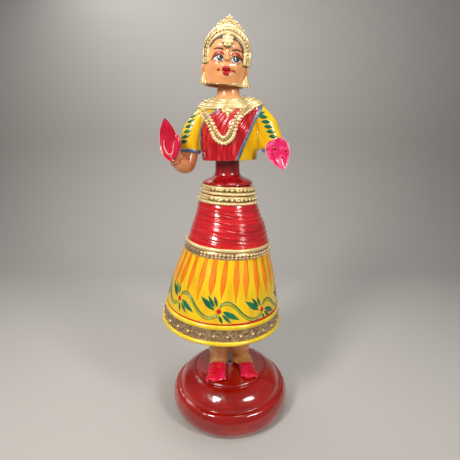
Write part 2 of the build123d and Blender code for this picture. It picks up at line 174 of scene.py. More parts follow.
class Bits:
    """Collects closed meshes, in millimetres, that become one piece."""

    def __init__(self):
        self.verts = []
        self.faces = []
        self.count = 0

    def add(self, verts, faces):
        self.verts.append(np.asarray(verts, float).reshape(-1, 3))
        self.faces.extend([[i + self.count for i in face] for face in faces])
        self.count += len(self.verts[-1])

    def ball(self, centre, radius, stretch=(1, 1, 1)):
        self.add(BALL_VERTS * radius * np.array(stretch) + np.array(centre), BALL_FACES)

    def tube(self, rings, loop=False):
        """A closed tube through rings of points; loop joins its ends."""
        rings = np.asarray(rings, float)
        count, around = rings.shape[:2]
        faces = []
        for i in range(count if loop else count - 1):
            for j in range(around):
                a, b = i * around, (i + 1) % count * around
                k = (j + 1) % around
                faces.append([a + j, a + k, b + k, b + j])
        if not loop:
            faces.append(list(range(around))[::-1])
            faces.append([(count - 1) * around + j for j in range(around)])
        self.add(rings.reshape(-1, 3), faces)

    def limb(self, points, radii, sides=32, steps=40):
        """A round tube of changing radius along a smooth path."""
        path = smooth_path([(*p, r) for p, r in zip(points, radii)], steps)
        self.tube([ring_round(path, i, sides) for i in range(len(path))])

    def slab(self, place, us, vs, top, bottom, around=False):
        """A closed sheet over a grid of surface coordinates, between two lifts."""
        outer, inner = place(us, vs, top), place(us, vs, bottom)
        nu, nv = outer.shape[:2]
        index = np.arange(nu * nv).reshape(nu, nv)
        under = nu * nv
        faces = []
        for i in range(nu if around else nu - 1):
            i2 = (i + 1) % nu
            for j in range(nv - 1):
                a, b, c, d = index[i, j], index[i2, j], index[i2, j + 1], index[i, j + 1]
                faces.append([a, b, c, d])
                faces.append([under + d, under + c, under + b, under + a])
            for j in (0, nv - 1):
                a, b = index[i, j], index[i2, j]
                faces.append([a, under + a, under + b, b])
        if not around:
            for i in (0, nu - 1):
                for j in range(nv - 1):
                    a, b = index[i, j], index[i, j + 1]
                    faces.append([a, b, under + b, under + a])
        self.add(np.concatenate([outer.reshape(-1, 3), inner.reshape(-1, 3)]), faces)

    def stroke(self, place, points, thick=0.3, steps=18):
        """One brush stroke through (u, v, half width) points, a soft ridge of paint on a surface."""
        path = smooth_path(points, steps)
        along = np.gradient(path[:, :2], axis=0)
        along /= np.linalg.norm(along, axis=1)[:, None] + 1e-9
        across = np.stack([-along[:, 1], along[:, 0]], 1)
        reach = np.array([-1, -0.7, 0, 0.7, 1, 0.6, -0.6])
        lift = np.array([-0.05, 0.75, 1.0, 0.75, -0.05, -0.9, -0.9]) * thick
        width = np.maximum(path[:, 2], 0.04)
        u = path[:, 0:1] + across[:, 0:1] * width[:, None] * reach
        v = path[:, 1:2] + across[:, 1:2] * width[:, None] * reach
        self.tube(place(u, v, np.broadcast_to(lift, u.shape)))

    def mesh(self, name):
        """The collected mesh, scaled to metres, with its faces turned outwards."""
        data = bpy.data.meshes.new(name)
        verts = np.concatenate(self.verts) * MM
        data.from_pydata(verts.tolist(), [], self.faces)
        work = bmesh.new()
        work.from_mesh(data)
        bmesh.ops.recalc_face_normals(work, faces=work.faces)
        for face in work.faces:
            face.smooth = True
        work.to_mesh(data)
        work.free()
        return data

    def piece(self, name, body, material, slot):
        """Make the collected meshes one piece that rides on a body."""
        return finish_piece(bpy.data.objects.new(name, self.mesh(name)), body, material)


def finish_piece(obj, body, material):
    """Link a finished object, give it its material and let it ride on a body."""
    if obj.name not in bpy.context.scene.collection.objects:
        bpy.context.scene.collection.objects.link(obj)
    if not obj.data.materials:
        obj.data.materials.append(material)
    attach(obj, body)
    return obj


def smooth_path(points, steps):
    """Points of any dimension along a curve through the given ones, evenly spread."""
    points = np.asarray(points, float)
    padded = np.concatenate([[2 * points[0] - points[1]], points, [2 * points[-1] - points[-2]]])
    spans = len(points) - 1
    out = []
    for s in np.linspace(0, spans, steps):
        i = min(int(s), spans - 1)
        t = s - i
        a, b, c, d = padded[i:i + 4]
        out.append(0.5 * (2 * b + (c - a) * t + (2 * a - 5 * b + 4 * c - d) * t * t
                          + (3 * b - a - 3 * c + d) * t ** 3))
    return np.array(out)


def ring_round(path, i, sides):
    """A ring of points round a path whose rows are x, y, z, radius."""
    ahead = path[min(i + 1, len(path) - 1), :3] - path[max(i - 1, 0), :3]
    ahead = Vector(ahead).normalized()
    side = ahead.cross(Vector((0.0, 1.0, 0.02))).normalized()
    up = side.cross(ahead)
    turn = np.linspace(0, 2 * np.pi, sides, endpoint=False)[:, None]
    return path[i, :3] + path[i, 3] * (np.cos(turn) * np.array(side) + np.sin(turn) * np.array(up))


def applied(obj):
    """Replace an object's mesh by the result of its modifiers."""
    bpy.context.view_layer.update()
    graph = bpy.context.evaluated_depsgraph_get()
    data = bpy.data.meshes.new_from_object(obj.evaluated_get(graph))
    obj.modifiers.clear()
    obj.data = data
    return obj


def welded(bits, name, voxel, rounds):
    """One skin over overlapping forms: remeshed, then smoothed."""
    obj = bpy.data.objects.new(name, bits.mesh(name))
    bpy.context.scene.collection.objects.link(obj)
    remesh = obj.modifiers.new("weld", "REMESH")
    remesh.mode = "VOXEL"
    remesh.voxel_size = voxel * MM
    remesh.use_smooth_shade = True
    smooth = obj.modifiers.new("smooth", "SMOOTH")
    smooth.iterations = rounds
    smooth.factor = 0.5
    return applied(obj)


def carved(obj, cutter_bits):
    """Cut a closed form out of an object."""
    cutter = bpy.data.objects.new("cutter", cutter_bits.mesh("cutter"))
    bpy.context.scene.collection.objects.link(cutter)
    cut = obj.modifiers.new("cut", "BOOLEAN")
    cut.operation = "DIFFERENCE"
    cut.solver = "EXACT"
    cut.object = cutter
    applied(obj)
    bpy.data.objects.remove(cutter)
    for face in obj.data.polygons:
        face.use_smooth = True
    return obj


def tree_of(obj):
    """A search tree of an object's surface, in millimetres."""
    verts = [v.co / MM for v in obj.data.vertices]
    return BVHTree.FromPolygons(verts, [list(p.vertices) for p in obj.data.polygons])


def wobble(points, size, amount, seed=0.0):
    """Gentle unevenness of a hand-made surface, as one number per point."""
    flat = np.asarray(points, float).reshape(-1, 3)
    values = [noise.noise(Vector(p) / size + Vector((seed, 0, 0))) for p in flat]
    return amount * np.array(values).reshape(np.asarray(points).shape[:-1])


# ---------------------------------------------------------------- materials


def nodes_of(name):
    """A new material with its node tree and shader."""
    material = bpy.data.materials.new(name)
    material.use_nodes = True
    tree = material.node_tree
    return material, tree, tree.nodes["Principled BSDF"]


def noise_node(tree, scale, stretch=(1, 1, 1), detail=4.0, rough=0.55):
    """Noise in the object's own space; stretch squeezes it along an axis to make streaks."""
    place = tree.nodes.new("ShaderNodeTexCoord")
    mapping = tree.nodes.new("ShaderNodeMapping")
    mapping.inputs["Scale"].default_value = stretch
    tree.links.new(place.outputs["Object"], mapping.inputs["Vector"])
    node = tree.nodes.new("ShaderNodeTexNoise")
    node.inputs["Scale"].default_value = scale
    node.inputs["Detail"].default_value = detail
    node.inputs["Roughness"].default_value = rough
    tree.links.new(mapping.outputs["Vector"], node.inputs["Vector"])
    return node


def ramp_node(tree, source, stops):
    """Colours spread over a value, from (position, colour) stops."""
    ramp = tree.nodes.new("ShaderNodeValToRGB")
    while len(ramp.color_ramp.elements) < len(stops):
        ramp.color_ramp.elements.new(0.5)
    for element, (position, colour) in zip(ramp.color_ramp.elements, stops):
        element.position = position
        element.color = (*colour, 1)
    tree.links.new(source, ramp.inputs["Fac"])
    return ramp


def lacquer(name, dark, body, light, streak=(1, 1, 1), scale=60.0, gloss=0.16, dents=0.25, coat=0.6):
    """Brushed enamel under clear lacquer: streaky colour, fine brush marks, soft dents."""
    material, tree, shader = nodes_of(name)
    streaks = noise_node(tree, scale, streak)
    colour = ramp_node(tree, streaks.outputs["Fac"], [(0.3, dark), (0.5, body), (0.72, light)])
    tree.links.new(colour.outputs["Color"], shader.inputs["Base Color"])
    shader.inputs["Coat Weight"].default_value = coat
    shader.inputs["Coat Roughness"].default_value = 0.07
    smear = noise_node(tree, scale * 2.2, streak, detail=3.0)
    spread = tree.nodes.new("ShaderNodeMapRange")
    spread.inputs["To Min"].default_value = gloss
    spread.inputs["To Max"].default_value = gloss + 0.2
    tree.links.new(smear.outputs["Fac"], spread.inputs["Value"])
    tree.links.new(spread.outputs["Result"], shader.inputs["Roughness"])
    add_bump(tree, shader, smear.outputs["Fac"], 0.12, 0.0004)
    hollow = noise_node(tree, 45.0, detail=2.0)
    add_bump(tree, shader, hollow.outputs["Fac"], dents, 0.0012)
    return material


def add_bump(tree, shader, source, strength, distance):
    """Add one more layer of bump, on top of those the shader has."""
    bump = tree.nodes.new("ShaderNodeBump")
    bump.inputs["Strength"].default_value = strength
    bump.inputs["Distance"].default_value = distance
    tree.links.new(source, bump.inputs["Height"])
    for name in ("Normal", "Coat Normal"):
        if name == "Normal" and shader.inputs[name].links:
            tree.links.new(shader.inputs[name].links[0].from_socket, bump.inputs["Normal"])
        tree.links.new(bump.outputs["Normal"], shader.inputs[name])


def metal_paint(name, crease_shade, body, light, rough=0.3, metal=0.55):
    """Metallic paint over relief, its colour set by the mesh's pointiness: painted shade in the hollows, a
    painted highlight on the edges.
    """
    material, tree, shader = nodes_of(name)
    shape = tree.nodes.new("ShaderNodeNewGeometry")
    speckle = noise_node(tree, 320.0, detail=3.0)
    blend = tree.nodes.new("ShaderNodeMath")
    blend.operation = "MULTIPLY_ADD"
    blend.inputs[1].default_value = 0.35
    tree.links.new(speckle.outputs["Fac"], blend.inputs[0])
    tree.links.new(shape.outputs["Pointiness"], blend.inputs[2])
    # The darkest stop is painted shade for hollows, the lightest a painted highlight for edges.
    colour = ramp_node(tree, blend.outputs["Value"], [(0.56, crease_shade), (0.64, body), (0.80, light)])
    tree.links.new(colour.outputs["Color"], shader.inputs["Base Color"])
    shader.inputs["Metallic"].default_value = metal
    shader.inputs["Roughness"].default_value = rough
    shader.inputs["Coat Weight"].default_value = 0.5
    shader.inputs["Coat Roughness"].default_value = 0.12
    add_bump(tree, shader, speckle.outputs["Fac"], 0.35, 0.0003)
    return material


def plain(name, dark, light, scale, rough, bump, metal=0.0, streak=(1, 1, 1)):
    """An unpainted material: clay, wood, board or wire."""
    material, tree, shader = nodes_of(name)
    grain = noise_node(tree, scale, streak, detail=6.0)
    colour = ramp_node(tree, grain.outputs["Fac"], [(0.35, dark), (0.7, light)])
    tree.links.new(colour.outputs["Color"], shader.inputs["Base Color"])
    shader.inputs["Roughness"].default_value = rough
    shader.inputs["Metallic"].default_value = metal
    add_bump(tree, shader, grain.outputs["Fac"], bump, 0.0005)
    return material


def paints():
    """Every material of the doll, by a plain name."""
    return {
        "base": lacquer("base_red", (0.20, 0.002, 0.001), (0.34, 0.004, 0.001), (0.50, 0.020, 0.002),
                        (0.5, 0.5, 2.2), 28.0, gloss=0.12, dents=1.3, coat=0.9),
        "sash": lacquer("sash_red", (0.38, 0.001, 0.005), (0.58, 0.002, 0.008), (0.74, 0.015, 0.02),
                        (0.5, 0.5, 5.0), 40.0, gloss=0.12, coat=0.9),
        "post": lacquer("post_red", (0.14, 0.002, 0.004), (0.34, 0.004, 0.008), (0.50, 0.008, 0.010),
                        (5.0, 5.0, 0.4), 45.0, gloss=0.14),
        "drape": lacquer("drape_red", (0.32, 0.001, 0.004), (0.54, 0.002, 0.007), (0.78, 0.06, 0.07),
                         (4.0, 4.0, 0.9), 55.0, gloss=0.14, coat=0.8),
        "skirt": lacquer("skirt_yellow", (0.80, 0.44, 0.004), (0.89, 0.56, 0.004), (0.93, 0.66, 0.01),
                         (3.0, 3.0, 0.5), 40.0, gloss=0.2, dents=0.15, coat=0.5),
        "blouse": lacquer("blouse_yellow", (0.80, 0.42, 0.002), (0.90, 0.56, 0.002), (0.94, 0.70, 0.01),
                          (1, 1, 1), 35.0, gloss=0.15, dents=0.2, coat=0.7),
        "rim": lacquer("rim_yellow", (0.72, 0.48, 0.004), (0.84, 0.60, 0.006), (0.92, 0.74, 0.05),
                       (1, 1, 3), 50.0, gloss=0.2),
        "flesh": lacquer("face_flesh", (0.84, 0.32, 0.09), (0.92, 0.43, 0.17), (0.95, 0.53, 0.28),
                         (1, 1, 1), 28.0, gloss=0.24, dents=0.08, coat=0.35),
        "arm": lacquer("arm_flesh", (0.50, 0.15, 0.045), (0.66, 0.25, 0.09), (0.76, 0.36, 0.15),
                       (1, 1, 1), 60.0, gloss=0.18, coat=0.6),
        "leg": lacquer("leg_flesh", (0.46, 0.17, 0.04), (0.60, 0.27, 0.08), (0.68, 0.35, 0.13),
                       (1, 1, 1), 50.0, gloss=0.18, coat=0.6),
        "palm": lacquer("palm_crimson", (0.44, 0.0, 0.012), (0.62, 0.001, 0.035), (0.80, 0.01, 0.09),
                        (1, 1, 1), 90.0, gloss=0.12, coat=0.9),
        "pink": lacquer("palm_pink", (0.62, 0.002, 0.05), (0.80, 0.015, 0.14), (0.92, 0.22, 0.36),
                        (1, 1, 1), 170.0, gloss=0.16, dents=0.6, coat=0.8),
        "toes": lacquer("toe_pink", (0.60, 0.001, 0.012), (0.78, 0.004, 0.035), (0.86, 0.02, 0.14),
                        (1, 1, 1), 120.0, gloss=0.14, coat=0.9),
        # Pale pink for the palms' rims and fold ridge: partly the hands' own paint, partly a painted
        # highlight.
        "edge": lacquer("palm_rim_paint_and_highlight", (0.80, 0.20, 0.20), (0.88, 0.36, 0.34), (0.94, 0.55, 0.48),
                        (1, 1, 1), 90.0, gloss=0.2),
        "orange": lacquer("stripe_orange", (0.84, 0.17, 0.001), (0.92, 0.22, 0.001), (0.94, 0.30, 0.002),
                          (3, 3, 0.6), 60.0, gloss=0.22, dents=0.1, coat=0.4),
        "green": lacquer("leaf_green", (0.001, 0.08, 0.03), (0.001, 0.13, 0.05), (0.006, 0.20, 0.085),
                         (1, 1, 1), 80.0, gloss=0.2, dents=0.1, coat=0.5),
        "vine": lacquer("vine_green", (0.10, 0.30, 0.03), (0.18, 0.40, 0.05), (0.32, 0.52, 0.08),
                        (1, 1, 1), 80.0, gloss=0.2, dents=0.1, coat=0.5),
        "dot": lacquer("dot_red", (0.42, 0.002, 0.002), (0.56, 0.004, 0.004), (0.62, 0.01, 0.008),
                       (1, 1, 1), 80.0, gloss=0.2, dents=0.1, coat=0.5),
        "blue": lacquer("trim_blue", (0.05, 0.10, 0.20), (0.12, 0.19, 0.32), (0.28, 0.35, 0.46),
                        (1, 1, 1), 110.0, gloss=0.2, dents=0.1, coat=0.6),
        "hair": lacquer("hair_grey", (0.035, 0.032, 0.035), (0.075, 0.07, 0.075), (0.16, 0.15, 0.16),
                        (4, 4, 0.6), 90.0, gloss=0.2, coat=0.5),
        "brow": lacquer("brow_brown", (0.05, 0.012, 0.008), (0.09, 0.022, 0.012), (0.13, 0.03, 0.02),
                        (1, 1, 1), 90.0, gloss=0.25, dents=0.05, coat=0.3),
        "lid": lacquer("lid_red", (0.34, 0.010, 0.002), (0.50, 0.035, 0.004), (0.62, 0.10, 0.01),
                       (1, 1, 1), 90.0, gloss=0.25, dents=0.05, coat=0.3),
        "lips": lacquer("lip_crimson", (0.34, 0.0, 0.006), (0.48, 0.001, 0.010), (0.60, 0.006, 0.02),
                        (1, 1, 1), 90.0, gloss=0.22, dents=0.05, coat=0.4),
        "white": lacquer("eye_white", (0.68, 0.66, 0.62), (0.80, 0.79, 0.76), (0.86, 0.86, 0.85),
                         (1, 1, 1), 90.0, gloss=0.1, dents=0.03, coat=0.8),
        "iris": lacquer("iris_grey", (0.02, 0.022, 0.026), (0.045, 0.05, 0.055), (0.10, 0.11, 0.12),
                        (1, 1, 1), 140.0, gloss=0.08, dents=0.03, coat=0.9),
        "pupil": lacquer("pupil_black", (0.004, 0.004, 0.005), (0.007, 0.007, 0.008), (0.012, 0.012, 0.014),
                         (1, 1, 1), 140.0, gloss=0.08, dents=0.03, coat=0.9),
        "gold": metal_paint("gold_paint", (0.22, 0.11, 0.02), (0.78, 0.55, 0.21), (0.94, 0.78, 0.42),
                            metal=0.35),
        # Dark gold for the pieces laid into recesses, gaps and under ornaments: painted shade.
        "shade_gold": metal_paint("shade_gold", (0.07, 0.035, 0.01), (0.22, 0.13, 0.045), (0.42, 0.28, 0.12)),
        "bronze": metal_paint("bronze_paint", (0.11, 0.055, 0.018), (0.30, 0.17, 0.065), (0.78, 0.56, 0.32),
                              rough=0.3),
        "clay": plain("dry_clay", (0.22, 0.13, 0.08), (0.42, 0.28, 0.18), 90.0, 0.9, 0.6),
        "board": plain("grey_board", (0.22, 0.17, 0.12), (0.40, 0.32, 0.24), 240.0, 0.9, 0.4),
        "wood": plain("plain_wood", (0.32, 0.18, 0.08), (0.55, 0.36, 0.19), 60.0, 0.7, 0.4,
                      streak=(4, 4, 0.4)),
        "wire": plain("drawn_wire", (0.34, 0.33, 0.32), (0.62, 0.61, 0.60), 200.0, 0.35, 0.2, metal=1.0,
                      streak=(2, 2, 0.3)),
    }


PAINT = paints()


HIDDEN_LOOKS = {"plug": "wood", "column": "wood", "wire": "wire", "crossbar": "wire", "clay": "clay",
                "ballast": "clay", "weight": "clay", "board": "board"}


def dress_hidden_nodes():
    """Better materials for the CAD pieces that stay: wires, plugs, clay and boards."""
    for name, node in frame["nodes"].items():
        paint = next((look for word, look in HIDDEN_LOOKS.items() if word in name), None)
        if paint:
            node.data.materials.clear()
            node.data.materials.append(PAINT[paint])


# ---------------------------------------------------------------- base and legs


BASE_LINE = [(60.0, 0.0), (62.6, 3.2), (65.2, 9.0), (66.0, 14.8), (65.2, 21.0), (62.8, 26.2),
             (61.0, 27.9), (59.2, 28.4), (58.0, 28.7), (57.4, 29.6), (56.0, 33.0), (51.8, 38.6), (46.4, 42.8),
             (42.6, 44.9), (41.5, 45.1), (40.7, 44.6), (40.1, 44.4), (39.8, 45.2), (39.3, 46.4), (38.4, 47.1),
             (36.0, 47.4), (20.0, 47.7), (0.4, 47.8)]
BASE_WALL = 3.4


def outline_lathe(bits, outline, wall, sides, matrix, uneven=0.0):
    """Turn an outline of (radius, height) corners into a hollow shell, following it closely."""
    corners = np.array(outline)
    line = smooth_path(corners, len(corners) * 5)
    line[:, 0] = np.maximum(line[:, 0], 0.3)
    ahead = np.gradient(line, axis=0)
    ahead /= np.linalg.norm(ahead, axis=1)[:, None] + 1e-9
    out_of = np.stack([ahead[:, 1], -ahead[:, 0]], 1)
    inner = line - out_of * wall
    inner[:, 0] = np.maximum(inner[:, 0], 0.3)
    inner[:, 1] = np.maximum(inner[:, 1], outline[0][1])
    turn = np.linspace(0, 2 * np.pi, sides, endpoint=False)

    def place(i, j, lift):
        rows = line if np.max(lift) > 0.5 else inner
        radius = rows[j.astype(int), 0]
        spot = np.stack([radius * np.sin(turn[i.astype(int)]), -radius * np.cos(turn[i.astype(int)]),
                         rows[j.astype(int), 1]], -1)
        if uneven and rows is line:
            push = 1 + wobble(spot, 26.0, uneven) / 60.0
            spot[..., 0] *= push
            spot[..., 1] *= push
        return moved(matrix, spot)
    i, j = np.meshgrid(np.arange(sides), np.arange(len(line)), indexing="ij")
    bits.slab(place, i, j, 1.0, 0.0, around=True)


def make_base():
    """The stepped round base with its two turned grooves."""
    bits = Bits()
    outline_lathe(bits, BASE_LINE, BASE_WALL, 192, UPRIGHT, uneven=0.5)
    base = bits.piece("base_body", "stand", PAINT["base"], "base_lacquer")
    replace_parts(base, "base_shell")


LEG_X = 12.0
PLATFORM_Z = 47.7


def leg_form(side):
    """Overlapping forms of one leg and foot, before they are welded."""
    bits = Bits()
    toe_out = math.radians(2 if side < 0 else 9)
    reach = 34.0 if side < 0 else 28.5
    slim = 1.0 if side < 0 else 0.86
    ankle = Vector((-12.9 if side < 0 else 12.6, 2, 0))
    knee_x = -12.6 if side < 0 else 11.0
    bits.limb([(ankle.x, 3, PLATFORM_Z + 4), (ankle.x, 2.5, 60), (knee_x, 2, 72),
               (knee_x, 2, 96), (side * (LEG_X - 1), 2, 124), (side * (LEG_X - 1), 2, 149)],
              [11.2, 10.8 * slim, 11.6, 11.6, 11.4, 11.4], sides=40)

    def foot_point(x, y, z):
        spot = Matrix.Rotation(toe_out * side, 3, "Z") @ Vector((x, y, 0))
        return (ankle.x + (-0.8 if side < 0 else 4.4) + spot.x, spot.y, PLATFORM_Z + z)
    for y, half, high in ((8, 8.6, 9), (2, 9.6, 11), (-5, 10.2, 11), (-11, 10.6, 9.5), (-17, 10.8, 8),
                          (-22, 10.8, 6.6), (-reach + 7, 10.4, 5.6)):
        bits.ball(foot_point(0, y, high * 0.42), 1.0, (half * slim, 8.5, high * 0.62))
    for toe in range(5):
        across = (toe - 2) * 4.7 * slim * -side
        size = 2.7 - 0.2 * toe
        length = reach - 2.4 - 0.8 * toe
        bits.ball(foot_point(across, -length, size * 0.8), size, (0.82 * slim, 1.9, 1.0))
    return bits


def make_leg(side, name):
    """One leg: flesh above, lacquered pink over the front of the foot."""
    leg = welded(leg_form(side), name, 0.55, 2)
    for vertex in leg.data.vertices:
        vertex.co.z = max(vertex.co.z, (PLATFORM_Z - 0.4) * MM)
        inner = side * vertex.co.x
        if inner < 0.0002:
            vertex.co.x = side * 0.0002
    leg.data.materials.append(PAINT["leg"])
    leg.data.materials.append(PAINT["toes"])
    for face in leg.data.polygons:
        spot = face.center / MM
        face.material_index = int(spot.y < -9.5 - 0.22 * (spot.z - PLATFORM_Z) and spot.z < 61)
    finish_piece(leg, "stand", PAINT["leg"])
    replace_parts(leg, name.replace("_form", ""))


# ---------------------------------------------------------------- skirt


SASH_LINE = [(29.6, 239.5), (30.8, 236), (32.2, 231), (34.0, 225.5), (37.4, 216.5), (40.2, 207),
             (41.8, 200), (42.4, 197)]
CLOTH_LINE = [(42.0, 201), (42.8, 197), (44.2, 191), (46.8, 182), (49.9, 173), (53.0, 163), (55.3, 154),
              (57.5, 144), (59.4, 134), (60.8, 126), (62.2, 114.5), (62.6, 110.8)]
SKIRT_WALL = 2.6
HIP_Z = 198.4
SKIRT_DRIFT = smooth_through([(0.0, 250), (0.8, 237), (2.2, 226), (3.1, 216), (3.2, 206), (2.6, 196),
                              (1.5, 172),
                              (0.4, 140), (0.0, 118)])


def sash_folds(angle, height):
    """Low folds that wrap the sash, dipping and merging to one side."""
    turn = np.radians(angle)
    drift = 2.6 * np.cos(turn - 0.9) + 0.8 * np.sin(3 * turn)
    phase = (height + drift) / 4.3 * 2 * np.pi
    strength = 0.42 + 0.3 * np.cos(turn - 0.7)
    edge = np.clip((238.0 - height) / 3, 0, 1) * np.clip((height - 199.0) / 3, 0, 1)
    fold = np.sin(phase + 0.9 * np.sin(phase * 0.37 + 2 * turn))
    return edge * strength * (0.6 * fold + 0.3 * np.sin(2 * phase + 3 * turn))


def lathe_slab(bits, surface, low, high, rows, sides, top=0.0, bottom=None):
    """A full ring of a lathe surface between two heights."""
    angles, heights = np.meshgrid(np.linspace(0, 360, sides, endpoint=False), np.linspace(low, high, rows),
                                  indexing="ij")
    bits.slab(surface.at, angles, heights, top, -SKIRT_WALL if bottom is None else bottom, around=True)


SASH = Lathe(SASH_LINE, SKIRT, relief=sash_folds, drift=SKIRT_DRIFT)
CLOTH = Lathe(CLOTH_LINE, SKIRT, drift=SKIRT_DRIFT)


def make_skirt_shell():
    """The hollow skirt: red wound sash above, smooth yellow cloth below."""
    bits = Bits()
    lathe_slab(bits, SASH, 197.2, 239.5, 120, 288)
    sash = bits.piece("wound_sash", "skirt", PAINT["sash"], "sash_lacquer")
    bits = Bits()
    lathe_slab(bits, CLOTH, 110.8, 198.0, 80, 288)
    cloth = bits.piece("painted_skirt", "skirt", PAINT["skirt"], "skirt_lacquer")
    neck = Lathe([(24.6, 257.2), (25.6, 251), (27.4, 243), (29.8, 237.5)], SKIRT)
    bits = Bits()
    lathe_slab(bits, neck, 237.6, 257.2, 20, 144, bottom=-2.2)
    collar = bits.piece("skirt_neck", "skirt", PAINT["sash"], "sash_lacquer")
    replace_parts(sash, "skirt_front_shell", "skirt_back_shell")
    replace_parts(cloth, "skirt_front_shell", "skirt_back_shell")
    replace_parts(collar, "skirt_front_shell", "skirt_back_shell")


STRIPES = 28


def make_stripes():
    """Orange strokes that hang from the hip band: broad at the top, pointed below."""
    bits = Bits()
    for i in range(STRIPES):
        centre = 360.0 * i / STRIPES + random.uniform(-1.2, 1.2)
        place = CLOTH.from_angle(centre)
        wide = random.uniform(2.4, 3.2)
        foot = 154.0 + random.uniform(-3.5, 3.5)
        slant = random.uniform(-1.6, 0.8)
        bits.stroke(place, [(0.4, 192.5, wide * 0.6), (0, 184, wide * 0.8), (slant * 0.4, 172, wide * 1.15),
                            (slant * 0.7, 163, wide * 0.8), (slant, foot, 0.1)], thick=0.28, steps=16)
    bits.piece("orange_stripes", "skirt", PAINT["orange"], "skirt_lacquer")


MOTIFS = 8
MOTIF_START = -3.0


def leaf_stroke(bits, place, root, tip, half, steps=12):
    """A pointed leaf between two points."""
    root, tip = np.array(root, float), np.array(tip, float)
    mid = root + (tip - root) * 0.48
    bits.stroke(place, [(*root, 0.15), (*(root + (tip - root) * 0.2), half * 0.72), (*mid, half),
                        (*(root + (tip - root) * 0.76), half * 0.6), (*tip, 0.08)], steps=steps)


def vine_place(centre):
    """Places strokes of one motif; the whole creeper climbs gently towards the doll's right."""
    def place(u, v, lift):
        angle = centre + np.degrees(u / 59.0)
        return CLOTH.at(angle, v + 5.2 - 3.8 * np.sin(np.radians(angle)), lift)
    return place


def make_vine():
    """The creeper round the skirt: double stems in waves, leaves in fans, red berries."""
    leaves, stems, light, dots = Bits(), Bits(), Bits(), Bits()
    pitch = 360.0 / MOTIFS
    for i in range(MOTIFS):
        place = vine_place(MOTIF_START + i * pitch)
        dots.stroke(place, [(-2.4, 138, 0.3), (-1.6, 138, 1.9), (0, 138, 2.5), (1.6, 138, 1.9),
                            (2.4, 138, 0.3)],
                    thick=0.5, steps=12)
        for root, tip, half in (((-4.5, 138.4), (-20, 148.5), 2.9), ((-4.4, 141.4), (-12.5, 151.0), 1.8),
                                ((-2.0, 142.0), (-6.0, 152.0), 1.6), ((4, 138.2), (20.5, 131.2), 2.9),
                                ((3.4, 135.4), (12.5, 127.6), 1.8), ((0.4, 134), (4.2, 126.4), 1.6)):
            leaf_stroke(leaves, place, root, tip, half)
        wave = [(0.5, 143.5), (4, 146.5), (10, 147.5), (17, 143.5), (24, 137), (31, 132.5), (38, 131.5),
                (46, 135.5)]
        stems.stroke(place, [(u, v, 0.22 + 0.42 * math.sin(math.pi * k / 7)) for k,
                             (u, v) in enumerate(wave)],
                     steps=30)
        stems.stroke(place, [(u - 0.4, v - 2.7, 0.34) for u, v in wave], steps=30)
        light.stroke(place, [(u - 0.2, v - 1.25, 0.42) for u, v in wave], thick=0.25, steps=30)
    leaves.piece("vine_leaves", "skirt", PAINT["green"], "skirt_lacquer")
    stems.piece("vine_stems", "skirt", PAINT["green"], "skirt_lacquer")
    light.piece("vine_highlights", "skirt", PAINT["vine"], "skirt_lacquer")
    dots.piece("vine_berries", "skirt", PAINT["dot"], "skirt_lacquer")


RED_LINE_Z = 130.8
HEM_ROLL_Z = 127.6
BAND_LOW, BAND_HIGH = 112.6, 126.0
HEM_RIM_Z = 112.0
SCROLLS = 30


def make_hem():
    """The hem: red line, yellow roll, embossed bronze band and rolled yellow rim."""
    line = Bits()
    ring_band(line, CLOTH, RED_LINE_Z, 0.7, 0.25)
    ring_band(line, CLOTH, RED_LINE_Z + 0.2, 1.25, 0.35, start=6.0, end=96.0, sides=80)
    line.piece("hem_red_line", "skirt", PAINT["dot"], "skirt_lacquer")
    roll = Bits()
    ring_band(roll, CLOTH, HEM_ROLL_Z, 2.2, 1.3)
    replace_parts(roll.piece("hem_roll", "skirt", PAINT["rim"], "rim_lacquer"), "hem_upper_roll")

    def scrolls(angle, height):
        turn = np.radians(angle)
        wave = 3.4 * np.abs(np.sin(turn * SCROLLS / 2)) - 1.4
        curl = np.exp(-((height - 119.4 - wave) / 1.15) ** 2)
        petals = np.exp(-((height - 123.4) / 1.3) ** 2) * (0.5 + 0.5 * np.cos(turn * SCROLLS * 2))
        uneven = 0.14 * np.sin(turn * 41 + 2 * np.sin(turn * 7)) * np.sin(height * 0.9)
        return 0.6 * curl + 0.35 * petals + uneven
    band = Bits()
    surface = Lathe(CLOTH_LINE, SKIRT, relief=scrolls, drift=SKIRT_DRIFT)
    lathe_slab(band, surface, BAND_LOW, BAND_HIGH, 44, 720, top=0.7, bottom=0.05)
    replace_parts(band.piece("embossed_band", "skirt", PAINT["bronze"], "bronze_paint"), "hem_band")
    studs = Bits()
    for i in range(SCROLLS):
        spot = CLOTH.at(np.array(360.0 * (i + 0.5) / SCROLLS), np.array(119.6), np.array(1.5))
        studs.ball(spot, 1.35, (1.2, 1, 0.9))
        spot = CLOTH.at(np.array(360.0 * i / SCROLLS), np.array(115.2), np.array(1.2))
        studs.ball(spot, 0.75)
    studs.piece("band_studs", "skirt", PAINT["bronze"], "bronze_paint")
    rim = Bits()
    ring_band(rim, CLOTH, HEM_RIM_Z, 2.3, 2.6)
    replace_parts(rim.piece("rolled_rim", "skirt", PAINT["rim"], "rim_lacquer"), "hem_rim")


def ring_band(bits, surface, height, half, stand_out, sides=240, uneven=0.12, start=0.0, end=360.0):
    """A rounded roll round a lathe surface at one height, over all or part of the turn."""
    full = abs(end - start - 360) < 1e-6
    angles = np.linspace(start, end, sides, endpoint=not full)
    turn = np.linspace(-np.pi / 2, np.pi / 2, 9)
    sit = np.concatenate([np.sin(turn) * half, [half * 0.8, -half * 0.8]])
    lift = np.concatenate([np.cos(turn) * stand_out, [-0.4, -0.4]])
    rings = []
    for i, angle in enumerate(angles):
        drift = uneven * noise.noise(Vector((math.sin(math.radians(angle)) * 3,
                                             math.cos(math.radians(angle)) * 3, height)))
        taper = 1.0 if full else max(0.25, math.sin(math.pi * i / (sides - 1)) ** 0.3)
        rings.append(surface.at(angle, height + drift + sit * taper, lift * taper))
    bits.tube(rings, loop=full)


